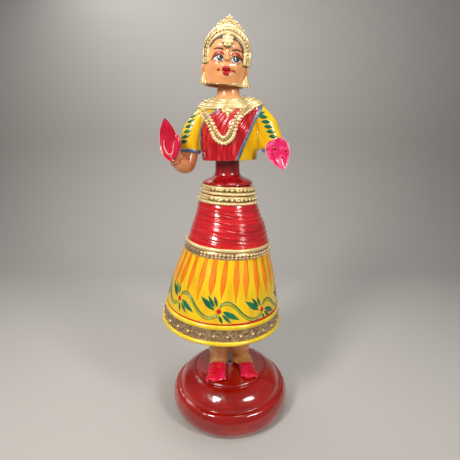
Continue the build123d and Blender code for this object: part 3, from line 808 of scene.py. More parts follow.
def bead_row(bits, surface, height, radius, count, lift, start=0.0, end=360.0, squash=0.8):
    """Beads side by side round a lathe surface."""
    for i in range(count):
        angle = start + (end - start) * (i + 0.5) / count
        size = radius * random.uniform(0.92, 1.06)
        bits.ball(surface.at(np.array(angle), np.array(height + random.uniform(-0.12, 0.12)), np.array(lift)),
                  size, (1, 1, squash))


BELT = Lathe([(24.6, 257.5), (25.6, 252.5), (26.9, 247), (28.3, 241.5), (30.2, 236.0)], SKIRT)
PLAIN_SIDE = (-95.0, -36.0)
EYELETS = 30


def make_belts():
    """Two gold belts: twin strands with a row of eyelets between, plain strands on one side, and darker gold
    behind them as painted shade.
    """
    for name, node, top in (("upper_belt", "waist_belt_upper", 256.6),
                            ("lower_belt", "waist_belt_lower", 247.6)):
        gold, back = Bits(), Bits()
        ring_band(gold, BELT, top - 1.7, 1.6, 1.9, uneven=0.3)
        ring_band(gold, BELT, top - 6.9, 1.5, 2.0, uneven=0.3)
        # back collects a dark gold band and beads behind the eyelets: painted shade in the recess.
        ring_band(back, BELT, top - 4.3, 2.2, 0.9)
        ring_band(gold, BELT, top - 4.2, 1.2, 1.7, start=PLAIN_SIDE[0], end=PLAIN_SIDE[1], sides=60)
        end = PLAIN_SIDE[0] + 360.0
        bead_row(gold, BELT, top - 3.2, 1.5, EYELETS, 1.6, PLAIN_SIDE[1], end, squash=0.75)
        bead_row(back, BELT, top - 4.5, 1.25, EYELETS, 1.3, PLAIN_SIDE[1], end, squash=0.7)
        bead_row(gold, BELT, top - 7.3, 1.35, EYELETS * 2, 1.7, PLAIN_SIDE[1], end, squash=0.9)
        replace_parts(gold.piece(name, "skirt", PAINT["gold"], "gold_paint"), node)
        back.piece(name + "_groove_shade", "skirt", PAINT["shade_gold"], "gold_paint")


def make_hip_band():
    """The hip band: a smooth pale cord above a row of bronze beads."""
    cord, beads = Bits(), Bits()
    ring_band(cord, CLOTH, HIP_Z, 1.7, 2.2, uneven=0.3)
    ring_band(beads, CLOTH, HIP_Z - 5.2, 3.3, 0.9)
    cord_piece = cord.piece("hip_cord", "skirt", PAINT["gold"], "gold_paint")
    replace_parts(cord_piece, "hip_band")
    shine = Bits()
    end = PLAIN_SIDE[0] + 360.0
    bead_row(shine, CLOTH, HIP_Z - 4.2, 1.35, 60, 1.0, PLAIN_SIDE[1], end)
    bead_row(beads, CLOTH, HIP_Z - 6.8, 1.5, 60, 0.6, PLAIN_SIDE[1], end)
    ring_band(beads, CLOTH, HIP_Z - 4.4, 1.5, 1.5, start=PLAIN_SIDE[0], end=PLAIN_SIDE[1], sides=60)
    beads.piece("hip_bead_bed", "skirt", PAINT["bronze"], "bronze_paint")
    shine.piece("hip_beads", "skirt", PAINT["gold"], "gold_paint")


POST_LINE = [(25.3, 257.4), (25.5, 258.0), (24.9, 259.0), (23.0, 260.6), (20.0, 262.2), (16.6, 263.6),
             (14.0, 265.2), (12.6, 267.6), (12.2, 271), (12.1, 278), (12.0, 284), (9.6, 288), (8.5, 291),
             (8.4, 300)]


def make_post():
    """The waist post with its domed flange and soft, streaky sides."""
    bits = Bits()
    outline_lathe(bits, POST_LINE, 2.3, 144, WAIST, uneven=0.35)
    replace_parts(bits.piece("waist_post_form", "skirt", PAINT["post"], "sash_lacquer"), "waist_post")


# ---------------------------------------------------------------- torso


TORSO_LINE = [(26.9, 276), (27.0, 281), (27.2, 288), (27.6, 298), (27.8, 308), (27.0, 318), (25.0, 325),
              (21.4, 331), (16.8, 335), (12.6, 338.5), (11.0, 342), (10.3, 347), (8.9, 352), (8.4, 356)]
TORSO_DEPTH = 0.88
TORSO_WALL = 1.6
NECK_FROM = 335.2


def bust(angle, height):
    """The gentle fullness of the chest, on the front only."""
    turn = np.radians(angle)
    rise = 0.0
    for side in (-1, 1):
        rise = rise + np.exp(-((turn - side * 0.46) / 0.34) ** 2 - ((height - 308.0) / 9.5) ** 2)
    return 2.6 * rise


TORSO_DRIFT = smooth_through([(0.4, 276), (0.7, 296), (0.3, 320), (0.0, 336)])
TORSO_BODY = Lathe(TORSO_LINE, TORSO, relief=bust, depth=TORSO_DEPTH, drift=TORSO_DRIFT)


def lathe_solid(bits, surface, low, high, rows, sides, grow=0.0):
    """A closed solid of a lathe surface between two heights."""
    angles = np.linspace(0, 360, sides, endpoint=False)
    bits.tube([surface.at(angles, np.full(sides, height), grow) for height in np.linspace(low, high, rows)])


def sleeve_points(side):
    """The upper arm's path and radii, from inside the shoulder to the cuff."""
    if side < 0:
        points = [(-9, 0, 331), (-18.2, 0, 327.3), (-25.0, 0, 320.2), (-31.4, -0.5, 312.0),
                  (-35.9, -1, 303.5),
                  (-37.9, -2, 295), (-38.4, -3, 288.5)]
        return points, [8.6, 8.8, 9.6, 11.2, 11.2, 10.2, 9.7]
    points = [(10, 0, 331), (22.2, 0, 328.3), (29.3, 0, 321.5), (36.2, -0.5, 312.8), (40.2, -1, 303.5),
              (42.2, -2, 296), (43.0, -3, 289.5)]
    return points, [8.6, 8.8, 10.0, 11.2, 11.1, 10.9, 10.2]


def local(bits_call, matrix, points, radii, **options):
    """Draw a limb whose points are written upright in a section's own space."""
    placed = moved(matrix, np.array(points, float) )
    bits_call(placed, radii, **options)


TORSO_LOCAL = TORSO


def make_torso():
    """The hollow torso with its sleeves: yellow lacquer, flesh above the collar."""
    forms = Bits()
    lathe_solid(forms, TORSO_BODY, 276, 355, 60, 96)
    for side in (-1, 1):
        points, radii = sleeve_points(side)
        local(forms.limb, TORSO_LOCAL, points, radii)
        web = [(side * 24, 1, 311), (side * 28.5, 0, 300), (side * 31.5, -1, 290.5)]
        local(forms.limb, TORSO_LOCAL, web, [9.4, 8.7, 6.8])
    torso = welded(forms, "torso_form", 0.75, 4)
    cavity = Bits()
    wall = [(r - TORSO_WALL, z) for r, z in TORSO_LINE]
    inner = Lathe(wall, TORSO, relief=bust, depth=TORSO_DEPTH, drift=TORSO_DRIFT)
    angles = np.linspace(0, 360, 64, endpoint=False)
    wide = Lathe([(34.0, 260), (34.0, 281)], TORSO, depth=1.0)
    rings = [wide.at(angles, np.full(64, z), 0.0) for z in (262.0, 280.95)]
    rings += [inner.at(angles, np.full(64, z), 0.0) for z in np.linspace(281, 355.9, 40)]
    rings += [inner.at(angles, np.full(64, 355.9), 0.0) + np.array([0, 0, 6.0])]
    cavity.tube(rings)
    torso = carved(torso, cavity)
    torso.data.materials.clear()
    torso.data.materials.append(PAINT["blouse"])
    torso.data.materials.append(PAINT["flesh"])
    for face in torso.data.polygons:
        spot = face.center / MM
        face.material_index = int(spot.z > NECK_FROM + 0.33 * spot.y and abs(spot.x) < 18)
    finish_piece(torso, "torso", PAINT["blouse"])
    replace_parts(torso, "torso_front_shell", "torso_back_shell")
    return torso


DRAPE_LEFT = [(-25.4, 281.0), (-26.6, 290), (-27.2, 299), (-26.4, 308), (-24.4, 315), (-20.5, 320),
              (-14.5, 324),
              (-8.0, 327.5), (-1.5, 330), (6.0, 332), (11.0, 334.0)]
DRAPE_RIGHT = [(7.2, 281.0), (11.8, 292), (16.0, 301), (21.6, 312), (26.6, 321), (30.0, 328), (31.0, 334.0)]


def drape_patch(bits, place, mirrored, low):
    """The drape between its two edges, with pleats that run up towards the shoulder."""
    left, right = smooth_through(DRAPE_LEFT), smooth_through(DRAPE_RIGHT)
    rows, columns = 70, 90
    height = np.linspace(low, 333.6, rows)
    share = np.linspace(0, 1, columns)
    v = np.broadcast_to(height[:, None], (rows, columns))
    u = left(height)[:, None] + (right(height) - left(height))[:, None] * share[None, :]
    pleat = np.sin((share[None, :] * 9.5 + 0.25 * np.sin(height[:, None] / 9.0)) * 2 * np.pi)
    fade = np.clip(share * 8, 0, 1) * np.clip((1 - share) * 8, 0, 1)
    top = 0.55 + 0.32 * pleat * fade[None, :]
    bits.slab(place, u * mirrored, v, top, -0.3)


def edge_stroke(bits, place, edge, half, mirrored=1, low=281.4, high=333.0, thick=0.9):
    """A raised trim along one edge of the drape."""
    line = smooth_through(edge)
    heights = np.linspace(low, high, 14)
    bits.stroke(place, [(float(line(z)) * mirrored, z, half) for z in heights], thick=thick, steps=50)


def make_drape(front, back):
    """The red drape from the right hip over the left shoulder, front and back, with blue trims."""
    cloth = Bits()
    drape_patch(cloth, front.at, 1, 281.1)
    drape_patch(cloth, back.at, 1, 281.1)
    cloth.piece("drape", "torso", PAINT["drape"], "sash_lacquer")
    trim = Bits()
    for place in (front.at, back.at):
        edge_stroke(trim, place, DRAPE_RIGHT, 1.9, high=331.0)
        edge_stroke(trim, place, DRAPE_LEFT, 0.95, high=329.0)
    trim.piece("drape_trim", "torso", PAINT["blue"], "blouse_lacquer")


def make_sleeve_leaves(front):
    """Green leaf strokes in a row down each sleeve."""
    bits = Bits()
    for i in range(6):
        z = 323.0 - 4.7 * i
        x = -34.0 - 1.8 * i
        leaf_stroke(bits, front.at, (x - 3.8, z - 1.2), (x + 4.2, z + 0.9), 1.9)
    for i in range(5):
        z = 320.5 - 4.5 * i
        x = 33.0 + 2.3 * i
        leaf_stroke(bits, front.at, (x - 4.4, z + 0.4), (x + 4.6, z - 0.6), 2.0)
    leaf_stroke(bits, front.at, (28.6, 321.5), (34.6, 325.5), 2.0)
    bits.piece("sleeve_leaves", "torso", PAINT["green"], "blouse_lacquer")


def make_cuffs():
    """The blue band at the end of each sleeve."""
    bits = Bits()
    for side in (-1, 1):
        points, radii = sleeve_points(side)
        end, before = Vector(points[-1]), Vector(points[-2])
        along = (end - before).normalized()
        path = [tuple(end - along * 2.4), tuple(end - along * 1.2), tuple(end), tuple(end + along * 0.8)]
        local(bits.limb, TORSO_LOCAL, path, [radii[-1] + d for d in (0.35, 0.55, 0.4, -0.2)], steps=10,
              sides=48)
    bits.piece("sleeve_cuffs", "torso", PAINT["blue"], "blouse_lacquer")


HARAM = [(-25.4, 326.8), (-20.6, 321.5), (-16.0, 315), (-12.4, 307), (-9.2, 302.0), (-4.2, 299.6),
         (0.4, 302.4),
         (3.0, 307), (5.9, 315), (11.6, 322.6), (17.0, 327.0), (22.2, 330.6)]


COLLAR_STRANDS = [(336.0, 4.2, 1.4), (333.0, 3.1, 1.2), (330.2, 2.2, 1.6), (327.4, 1.2, 1.2),
                  (325.0, 0.4, 1.5),
                  (322.6, -0.4, 1.3)]


def make_necklaces(front, torso_tree):
    """Gold collar of six strands, beaded long necklace and a drop."""
    collar = Bits()
    around = RoundTorso(torso_tree)
    for height, dip, radius in COLLAR_STRANDS:
        strand(collar, around, height, dip, radius)
    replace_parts(collar.piece("gold_collar", "torso", PAINT["gold"], "gold_paint"), "choker")
    haram, dents = Bits(), Bits()
    path = smooth_path(HARAM, 121)
    haram.stroke(front.at, [(u, v, 3.0) for u, v in path[::6]], thick=0.9, steps=80)
    along = np.gradient(path, axis=0)
    along /= np.linalg.norm(along, axis=1)[:, None]
    out = np.stack([along[:, 1], -along[:, 0]], 1)
    low = np.clip(1 - np.abs(path[:, 1] - 299.6) / 12, 0, 1) ** 0.5
    for i in range(0, 121, 4):
        haram.ball(front.at(*(path[i] - out[i] * 2.5), 1.2), 1.35, (1, 0.9, 1))
        size = 1.35 + 0.65 * low[i]
        haram.ball(front.at(*(path[i] + out[i] * (2.4 + 0.3 * low[i])), 1.2), size, (1, 0.9, 1))
        # Dark gold beads between the necklace's beads: painted shade.
        dents.ball(front.at(*path[min(i + 2, 120)], 1.1), 0.9, (1, 0.6, 1))
    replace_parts(haram.piece("beaded_necklace", "torso", PAINT["gold"], "gold_paint"), "long_necklace")
    dents.piece("necklace_dent_shade", "torso", PAINT["shade_gold"], "gold_paint")
    drop = Bits()
    for u, v, size in ((0, 0.4, 2.6), (0, -2.6, 1.9), (-3.2, -0.4, 1.9), (3.2, -0.4, 1.9), (-2.4, 2.4, 1.7),
                       (2.4, 2.4, 1.7), (0, 3.6, 1.5), (-4.6, 1.8, 1.2), (4.6, 1.8, 1.2), (0, -4.6, 1.1)):
        drop.ball(front.at(u - 0.6, v + 325.2, 0.7), size, (1, 0.6, 1))
    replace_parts(drop.piece("necklace_drop", "torso", PAINT["gold"], "gold_paint"), "pendant")


class RoundTorso:
    """The torso's surface met from outside, along rays towards its axis."""

    def __init__(self, tree):
        self.tree = tree

    def at(self, angle, height, lift):
        angle, height, lift = np.broadcast_arrays(np.asarray(angle, float), np.asarray(height, float), lift)
        out = np.empty(angle.shape + (3,))
        for i in np.ndindex(angle.shape):
            turn = math.radians(angle[i])
            way = np.array([math.sin(turn), -math.cos(turn), 0.0])
            start = Vector(moved(TORSO, way * 34 + np.array([0, 0, height[i] + 10])))
            aim = Vector(moved(TORSO, np.array([0, 0, height[i] - 3.0]))) - start
            hit, normal, _, _ = self.tree.ray_cast(start, aim.normalized())
            out[i] = hit + normal * float(lift[i])
        return out


def strand(bits, surface, height, dip, radius, sides=96):
    """A knobbly gold strand round the neck, made of short twists."""
    angles = np.linspace(0, 360, sides, endpoint=False)
    drop = dip * np.maximum(0, np.cos(np.radians(angles))) ** 1.3
    line = surface.at(angles, height - drop, radius * 0.6)
    path = np.concatenate([line, np.full((sides, 1), radius)], 1)
    path[:, 3] *= 1 + 0.13 * np.cos(np.arange(sides) * np.pi)
    rings = []
    for i in range(sides):
        near = np.array([path[(i - 1) % sides], path[i], path[(i + 1) % sides]])
        rings.append(ring_round(near, 1, 12))
    bits.tube(rings, loop=True)


# ---------------------------------------------------------------- arms


def make_forearm(side, name, node):
    """A bare forearm from the cuff to the back of the hand, with a thin dark red ring at the wrist painted as
    shade.
    """
    bits = Bits()
    if side < 0:
        points = [(-39, -3, 291), (-40.6, -5, 283), (-42.4, -8.5, 277.6), (-46.0, -13, 278.0),
                  (-50.5, -17, 283.0),
                  (-52.8, -20, 289)]
        radii = [8.7, 8.9, 8.7, 7.8, 6.4, 5.2]
        wrist_shade = ((-49.6, -16.2, 281.9), (-50.4, -16.9, 282.9))
    else:
        points = [(43.2, -3, 292), (44.4, -7, 290), (45.2, -12, 290.5), (45.2, -17, 292),
                  (44.6, -20.5, 293.5)]
        radii = [8.8, 8.3, 7.6, 6.8, 5.6]
        wrist_shade = ((45.2, -13.5, 291), (45.2, -14.6, 291.3))
    local(bits.limb, TORSO_LOCAL, points, radii, steps=30)
    arm = bits.piece(name, "torso", PAINT["arm"], "arm_lacquer")
    # A dark red ring at the wrist: painted shade of the fold between hand and forearm.
    ring = Bits()
    size = 7.1 if side < 0 else 7.5
    local(ring.limb, TORSO_LOCAL, [wrist_shade[0], tuple((np.array(wrist_shade[0]) + wrist_shade[1]) / 2), wrist_shade[1]],
          [size - 0.5, size, size - 0.7], steps=7)
    ring.piece(name + "_wrist_shade", "torso", PAINT["lid"], "arm_lacquer")
    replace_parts(arm, node)


def hand_grid(outline, length, width, cup, thick, fingers, bow):
    """Front and back surfaces of an open hand as grids over (across, along)."""
    half = smooth_through(outline)
    t = np.linspace(0.0, 1.0, 56)[None, :]
    u = np.linspace(-1, 1, 41)[:, None]
    w = half(t) * width / 2
    x = u * w
    z = t * length + 0 * u
    bowl = (1 - np.abs(u) ** 2.4) * np.sin(np.pi * np.clip(t, 0, 1)) ** 0.6
    lines = 0.28 * np.cos(4 * np.pi * u) * np.clip((t - 0.4) * 4, 0, 1) * np.clip((1 - t) * 5, 0,
                                                                                  1) * (1 - u ** 4)
    curl = bow * (t - 0.35) ** 2 * length
    front = np.stack([x, -(curl - cup * bowl + lines * fingers), z], -1)
    back = np.stack([x, curl * -1 + (cup * bowl + thick * (0.25 + bowl)), z], -1)
    return front, back


def make_hand(name, wrist, turn, tip_forward, outline, length, width, cup, paint, thumb, bow=0.1):
    """An open hand: lacquered palm, a pale rim that is partly the hand's paint and partly a painted
    highlight, and a flesh back.
    """
    front, back = hand_grid(outline, length, width, cup, 3.0, 1.0, bow)
    frame_turn = Matrix.Rotation(math.radians(turn), 4, "Y") @ Matrix.Rotation(math.radians(tip_forward), 4,
                                                                               "X")
    matrix = np.array(Matrix.Translation(wrist) @ frame_turn)
    place_all = TORSO_LOCAL @ matrix
    bits = Bits()
    nu, nv = front.shape[:2]
    grids = [moved(place_all, front), moved(place_all, back)]
    bits.slab(lambda i, j, lift: grids[0] if np.max(lift) > 0 else grids[1], np.zeros((nu, nv)),
              np.zeros((nu, nv)),
              1.0, 0.0)
    hand = bpy.data.objects.new(name, bits.mesh(name))
    bpy.context.scene.collection.objects.link(hand)
    for paint_name in (paint, "edge", "arm"):
        hand.data.materials.append(PAINT[paint_name])
    inverse = np.linalg.inv(place_all)
    half = smooth_through(outline)
    for face in hand.data.polygons:
        spot = moved(inverse, np.array(face.center) / MM)
        share = abs(spot[0]) / max(0.3, float(half(spot[2] / length)) * width / 2)
        facing = float(np.array(face.normal) @ place_all[:3, 1])
        # Faces near the outline get the pale rim: partly paint, partly a painted highlight.
        face.material_index = 2 if facing > 0.15 else (1 if share > 0.93 else 0)
    finish_piece(hand, "torso", PAINT[paint])
    if thumb:
        digit = Bits()
        local(digit.limb, place_all, *thumb, steps=26, sides=24)
        digit.piece(name + "_thumb", "torso", PAINT[paint], "arm_lacquer")
    return hand, place_all


RAISED_OUTLINE = [(0.12, 0.0), (0.5, 0.05), (0.82, 0.16), (1.0, 0.36), (0.92, 0.56), (0.68, 0.76),
                  (0.34, 0.91), (0.02, 1.0)]
LOWERED_OUTLINE = [(0.45, 0.0), (0.72, 0.06), (0.95, 0.22), (1.0, 0.40), (0.86, 0.60), (0.56, 0.80),
                   (0.26, 0.94), (0.03, 1.0)]


PALM_FOLD = [(-4.6, 0.6, 20), (-5.2, 1.0, 13), (-2.6, 1.2, 6.5), (1.6, 1.2, 7.5), (3.4, 1.0, 13),
             (5.4, 0.6, 18)]


def make_hands():
    """The raised right hand and the lowered left hand."""
    thumb = ([(1.5, -0.4, 3.0), (6.0, -1.6, 9.0), (8.6, -2.0, 16.0), (8.2, -2.2, 21.5), (7.8, -2.0, 24.0)],
             [2.6, 2.9, 2.6, 2.0, 0.8])
    raised, raised_place = make_hand("raised_hand", (-53.4, -24.5, 281.8), -6.8, -4, RAISED_OUTLINE, 39.0,
                                     18.2, 2.6, "palm", thumb)
    lowered, place_all = make_hand("lowered_hand", (41.4, -25.0, 299.8), 161, 4, LOWERED_OUTLINE, 29.0,
                                   22.0, 1.0,
                                   "pink", None)
    # A pale ridge in the raised palm's hollow, its pale colour a painted highlight.
    hollow = Bits()
    hollow.limb(moved(raised_place, np.array(PALM_FOLD, float)), [0.25, 0.7, 0.8, 0.7, 0.6, 0.3], steps=30,
                sides=12)
    hollow.piece("raised_palm_fold_highlight", "torso", PAINT["edge"], "arm_lacquer")
    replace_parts(raised, "right_forearm")
    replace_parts(lowered, "left_forearm")
    marks = Bits()
    for x, z, size in ((1.5, 8, 2.2), (-7.0, 13, 1.6), (-2.0, 18, 1.2), (5.5, 12, 1.1), (-4.0, 23, 1.0)):
        spot = moved(place_all, np.array([x, -0.2 + 1.0 * (1 - (x / 12) ** 2), z]))
        marks.ball(spot, size, (1, 0.35, 1))
    marks.piece("palm_marks", "torso", PAINT["lips"], "arm_lacquer")


# ---------------------------------------------------------------- head


HEAD_LINE = [(18.6, 349), (19.2, 352), (19.7, 358), (20.0, 366), (20.0, 374), (19.4, 381), (17.8, 387),
             (14.6, 392.6), (10.4, 397), (5.2, 400), (0.3, 401.4)]
HEAD_DEPTH = 1.06
HEAD_WALL = 2.0
FACE_CENTRE_X = 1.6
EYE_X = 7.5
EYE_Z = 373.9
FACE_UP = EYE_Z - 370.4


def bump_at(x, z, at_x, at_z, wide, high):
    """A soft round swelling in face coordinates."""
    return np.exp(-((x - at_x) / wide) ** 2 - ((z - at_z) / high) ** 2)


def face_relief(angle, height):
    """Brow, sockets, nose, cheeks, lips and chin of the doll's face."""
    turn = np.radians((angle + 180) % 360 - 180)
    x = 19.5 * np.sin(turn) - FACE_CENTRE_X
    ahead = np.clip(np.cos(turn), 0, 1) ** 0.5
    z = height - FACE_UP
    lift = 0.7 * bump_at(x, z, 0, 377.5, 11, 3.0)
    for side in (-1, 1):
        lift = lift - 1.3 * bump_at(x, z, side * EYE_X, 371.0, 5.2, 4.0)
        lift = lift + 1.2 * bump_at(x, z, side * EYE_X, 370.2, 3.4, 2.4)
        lift = lift + 1.0 * bump_at(x, z, side * 9.5, 361.5, 5.0, 5.5)
        lift = lift + 0.9 * bump_at(x, z, side * 1.9, 366.2, 1.2, 1.2)
    bridge = np.clip((378 - z) / 11.0, 0, 1) * np.clip((z - 364.6) / 1.6, 0, 1)
    lift = lift + 3.1 * bridge ** 1.3 * np.exp(-(x / 1.75) ** 2)
    lift = lift + 0.8 * bump_at(x, z, 0, 366.6, 1.7, 1.6)
    lift = lift + 1.5 * bump_at(x, z, 0, 361.0, 4.2, 2.9)
    lift = lift - 0.5 * bump_at(x, z, 0, 357.0, 3.4, 1.2)
    lift = lift + 1.2 * bump_at(x, z, 0, 353.4, 4.5, 3.0)
    return lift * ahead


HEAD_BODY = Lathe(HEAD_LINE, HEAD, relief=face_relief, depth=HEAD_DEPTH)


def make_head():
    """The hollow head, open below, with its painted flesh."""
    bits = Bits()
    sides = 320
    angles, heights = np.meshgrid(np.linspace(0, 360, sides, endpoint=False),
                                  np.concatenate([np.linspace(349, 393, 130), np.linspace(393.5, 401.4, 16)]),
                                  indexing="ij")
    bits.slab(HEAD_BODY.at, angles, heights, 0.0, -HEAD_WALL, around=True)
    head = bits.piece("face_form", "head", PAINT["flesh"], "flesh_lacquer")
    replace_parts(head, "head_face_shell", "head_back_shell")
    # A thin dark gold band round the head's lower edge: painted shade where the head meets the neck.
    rim = Bits()
    ring_band(rim, HEAD_BODY, 349.4, 0.6, 0.35, sides=144)
    rim.piece("head_rim", "head", PAINT["shade_gold"], "gold_paint")
    corner = Bits()
    ring_band(corner, HEAD_BODY, 350.4, 1.4, 0.8, sides=40, start=24.0, end=88.0)
    corner.piece("head_rim_gold", "head", PAINT["gold"], "gold_paint")
    return head


def hairline(angle):
    """The height of the hair's lower edge: high over the forehead, down behind the ears."""
    x = np.abs(angle)
    return smooth_through([(387.0, 0), (387.0, 14), (386.0, 28), (382.5, 40), (377.0, 50), (370.0, 58),
                           (367.0, 70),
                           (364.0, 96), (350.0, 118), (349.6, 180)])(x)


def make_hair():
    """Combed hair over the head, with fine grooves, and the knot at the back."""
    bits = Bits()
    sides, rows = 260, 60
    angles = np.linspace(-180, 180, sides, endpoint=False)[:, None] + np.zeros((1, rows))
    share = np.linspace(0, 1, rows)[None, :]
    low = hairline(angles[:, :1])
    heights = low + (401.3 - low) * share
    grooves = 0.9 + 0.16 * np.sin(angles * 0.9 + 3 * np.sin(heights / 7.0)) * np.clip(share * 6, 0, 1)
    bits.slab(HEAD_BODY.at, angles, heights, grooves, -0.4, around=True)
    bits.piece("hair", "head", PAINT["hair"], "hair_paint")
    knot = Bits()
    turns = 300
    rings = []
    for i in range(turns):
        t = i / (turns - 1)
        turn = t * 2 * np.pi * 4.2
        reach = 7.4 * (1 - t) ** 0.8 + 0.3
        spot = np.array([reach * math.sin(turn), 20.5 + 6.0 * t, 372 + reach * math.cos(turn)])
        rings.append([*spot, 2.6 - 0.8 * t])
    path = np.array(rings)
    path[:, :3] = moved(HEAD, path[:, :3])
    knot.tube([ring_round(path, i, 12) for i in range(turns)])
    knot.ball(moved(HEAD, np.array([0, 20.0, 372.0])), 8.0, (1, 0.55, 1))
    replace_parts(knot.piece("hair_knot", "head", PAINT["hair"], "hair_paint"), "hair_bun")


def make_ears():
    """Two ears, each with a darker hollow painted as shade."""
    ears, inner = Bits(), Bits()
    for side in (-1, 1):
        centre = np.array([side * 19.3, -6.4, 361.8])
        ears.ball(moved(HEAD, centre), 1.0, (2.9, 3.0, 5.6))
        ears.ball(moved(HEAD, centre + np.array([side * 0.6, 0.4, -3.6])), 1.0, (1.8, 1.9, 2.0))
        # A darker flesh lump in each ear's hollow: painted shade.
        inner.ball(moved(HEAD, centre + np.array([side * 0.6, -1.9, 0.6])), 1.0, (1.2, 1.3, 2.8))
    ears.piece("ears", "head", PAINT["flesh"], "flesh_lacquer")
    inner.piece("ear_hollow_shade", "head", PAINT["leg"], "flesh_lacquer")


def make_earring(side, name, node):
    """One jhumka: a stud, a flared bell with ribs and a fringe of beads."""
    bits = Bits()
    centre = np.array([18.2 * side if side < 0 else 19.8, -9.0, -1.2])
    bits.ball(moved(HEAD, centre + np.array([0, 0, 358.6])), 1.7)
    turn = np.linspace(0, 2 * np.pi, 32, endpoint=False)
    rings = []
    for height, radius in ((358.6, 1.2), (357.4, 2.6), (355.6, 3.3), (353.4, 3.9), (352.0, 4.3),
                           (351.4, 4.3), (351.2, 3.2)):
        ribs = radius * (1 + 0.06 * np.cos(turn * 10))
        rings.append(moved(HEAD, centre + np.stack([ribs * np.cos(turn), ribs * np.sin(turn),
                                                    np.full(32, height)], -1)))
    bits.tube(rings)
    for i in range(10):
        way = 2 * np.pi * i / 10
        spot = centre + np.array([3.6 * math.cos(way), 3.6 * math.sin(way), 350.9])
        bits.ball(moved(HEAD, spot), 0.9)
    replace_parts(bits.piece(name, "head", PAINT["gold"], "gold_paint"), node)


def face_place(tree):
    """Strokes on the face, seen from the front, in face coordinates."""
    return Projected(tree, HEAD)


def make_face_paint(head):
    """Eyes, brows, lids, lips and forehead mark."""
    place = face_place(tree_of(head)).at
    white, iris, pupil, brows, lids, lips = Bits(), Bits(), Bits(), Bits(), Bits(), Bits()
    for side in (-1, 1):
        x = FACE_CENTRE_X + side * EYE_X

        def eye(points, thick, bits, steps=26, x=x, side=side):
            bits.stroke(place, [(x + side * u, EYE_Z + v, w) for u, v, w in points], thick=thick, steps=steps)
        look = 0.9 if side < 0 else -0.3
        eye([(-4.6, -0.7, 0.1), (-2.8, -0.2, 2.0), (0.0, 0.1, 2.7), (2.8, -0.1, 2.0), (5.2, -0.2, 0.2)],
            0.35, white)
        eye([(-2.8 - look, 0.5, 0.7), (-1.6 - look, 0.5, 2.4), (-look, 0.5, 2.9), (1.6 - look, 0.5, 2.4),
             (2.8 - look, 0.5, 0.7)], 0.55, iris, 18)
        eye([(-1.3 - look, 0.6, 0.3), (-look, 0.6, 1.4), (1.3 - look, 0.6, 0.3)], 0.7, pupil, 12)
        # A small white fleck over the lower pupil: a painted glint.
        eye([(-1.3 - look, -0.5, 0.1), (-0.7 - look, -0.3, 0.45), (0.1 - look, -0.7, 0.1)], 0.85, white, 8)
        eye([(-4.9, -0.6, 0.15), (-3.2, 1.9, 0.5), (0, 3.3, 0.7), (3.2, 2.2, 0.6), (5.4, 0.2, 0.4),
             (6.6, -1.6, 0.1)],
            0.7, brows)
        eye([(-3.6, -2.0, 0.1), (-1.0, -3.0, 0.25), (2.2, -2.7, 0.25), (5.0, -0.6, 0.1)], 0.5, lids)
        eye([(-4.6, 2.8, 0.3), (-3.0, 4.5, 1.0), (0.2, 5.4, 1.25), (3.4, 4.4, 1.1), (5.6, 1.8, 0.5),
             (6.4, 0.2, 0.1)],
            0.3, lids)
        eye([(-4.0, 7.0, 0.15), (-2.4, 8.0, 0.65), (0.8, 8.7, 0.7), (3.6, 8.3, 0.45), (5.6, 7.4, 0.08)],
            0.5, brows)
    x = FACE_CENTRE_X - 0.3
    lips.stroke(place, [(x - 3.5, 364.6, 0.3), (x - 2.6, 365.6, 1.3), (x - 1.3, 366.4, 1.7), (x, 365.7, 1.5),
                        (x + 1.3, 366.4, 1.7), (x + 2.6, 365.6, 1.3), (x + 3.5, 364.6, 0.3)], thick=0.9,
                steps=34)
    lips.stroke(place, [(x - 3.1, 364.2, 0.4), (x - 1.8, 363.0, 1.9), (x, 362.4, 2.3), (x + 1.8, 363.0, 1.9),
                        (x + 3.1, 364.2, 0.4)], thick=1.2, steps=24)
    curls = Bits()
    curls.stroke(place, [(x - 8.2, 364.9, 0.6), (x - 7.5, 364.9, 1.35), (x - 6.5, 364.9, 1.3),
                         (x - 5.6, 364.7, 0.3)],
                 thick=0.4, steps=12)
    curls.stroke(place, [(x + 3.4, 364.7, 0.5), (x + 5.0, 364.9, 0.6), (x + 6.4, 365.0, 0.9),
                         (x + 7.5, 364.4, 1.0),
                         (x + 8.0, 363.5, 0.2)], thick=0.4, steps=16)
    curls.stroke(place, [(x - 1.6, 381.0, 0.2), (x - 0.8, 382.4, 0.42), (x, 382.8, 0.45),
                         (x + 0.8, 382.4, 0.42),
                         (x + 1.6, 381.0, 0.2)], thick=0.35, steps=14)
    for side in (-1, 1):
        curls.ball(place(x + side * 1.5, 365.3 + FACE_UP, 0.0), 0.42)
    white.piece("eye_whites_and_glints", "head", PAINT["white"], "flesh_lacquer")
    iris.piece("eye_irises", "head", PAINT["iris"], "flesh_lacquer")
    pupil.piece("eye_pupils", "head", PAINT["pupil"], "flesh_lacquer")
    brows.piece("brows_and_lashes", "head", PAINT["brow"], "flesh_lacquer")
    lids.piece("eyelid_arcs", "head", PAINT["lid"], "flesh_lacquer")
    lips.piece("lips", "head", PAINT["lips"], "flesh_lacquer")
    curls.piece("face_marks", "head", PAINT["lid"], "flesh_lacquer")


ARCH_FOOT = 376.0
ARCH_SHIFT = 0.9


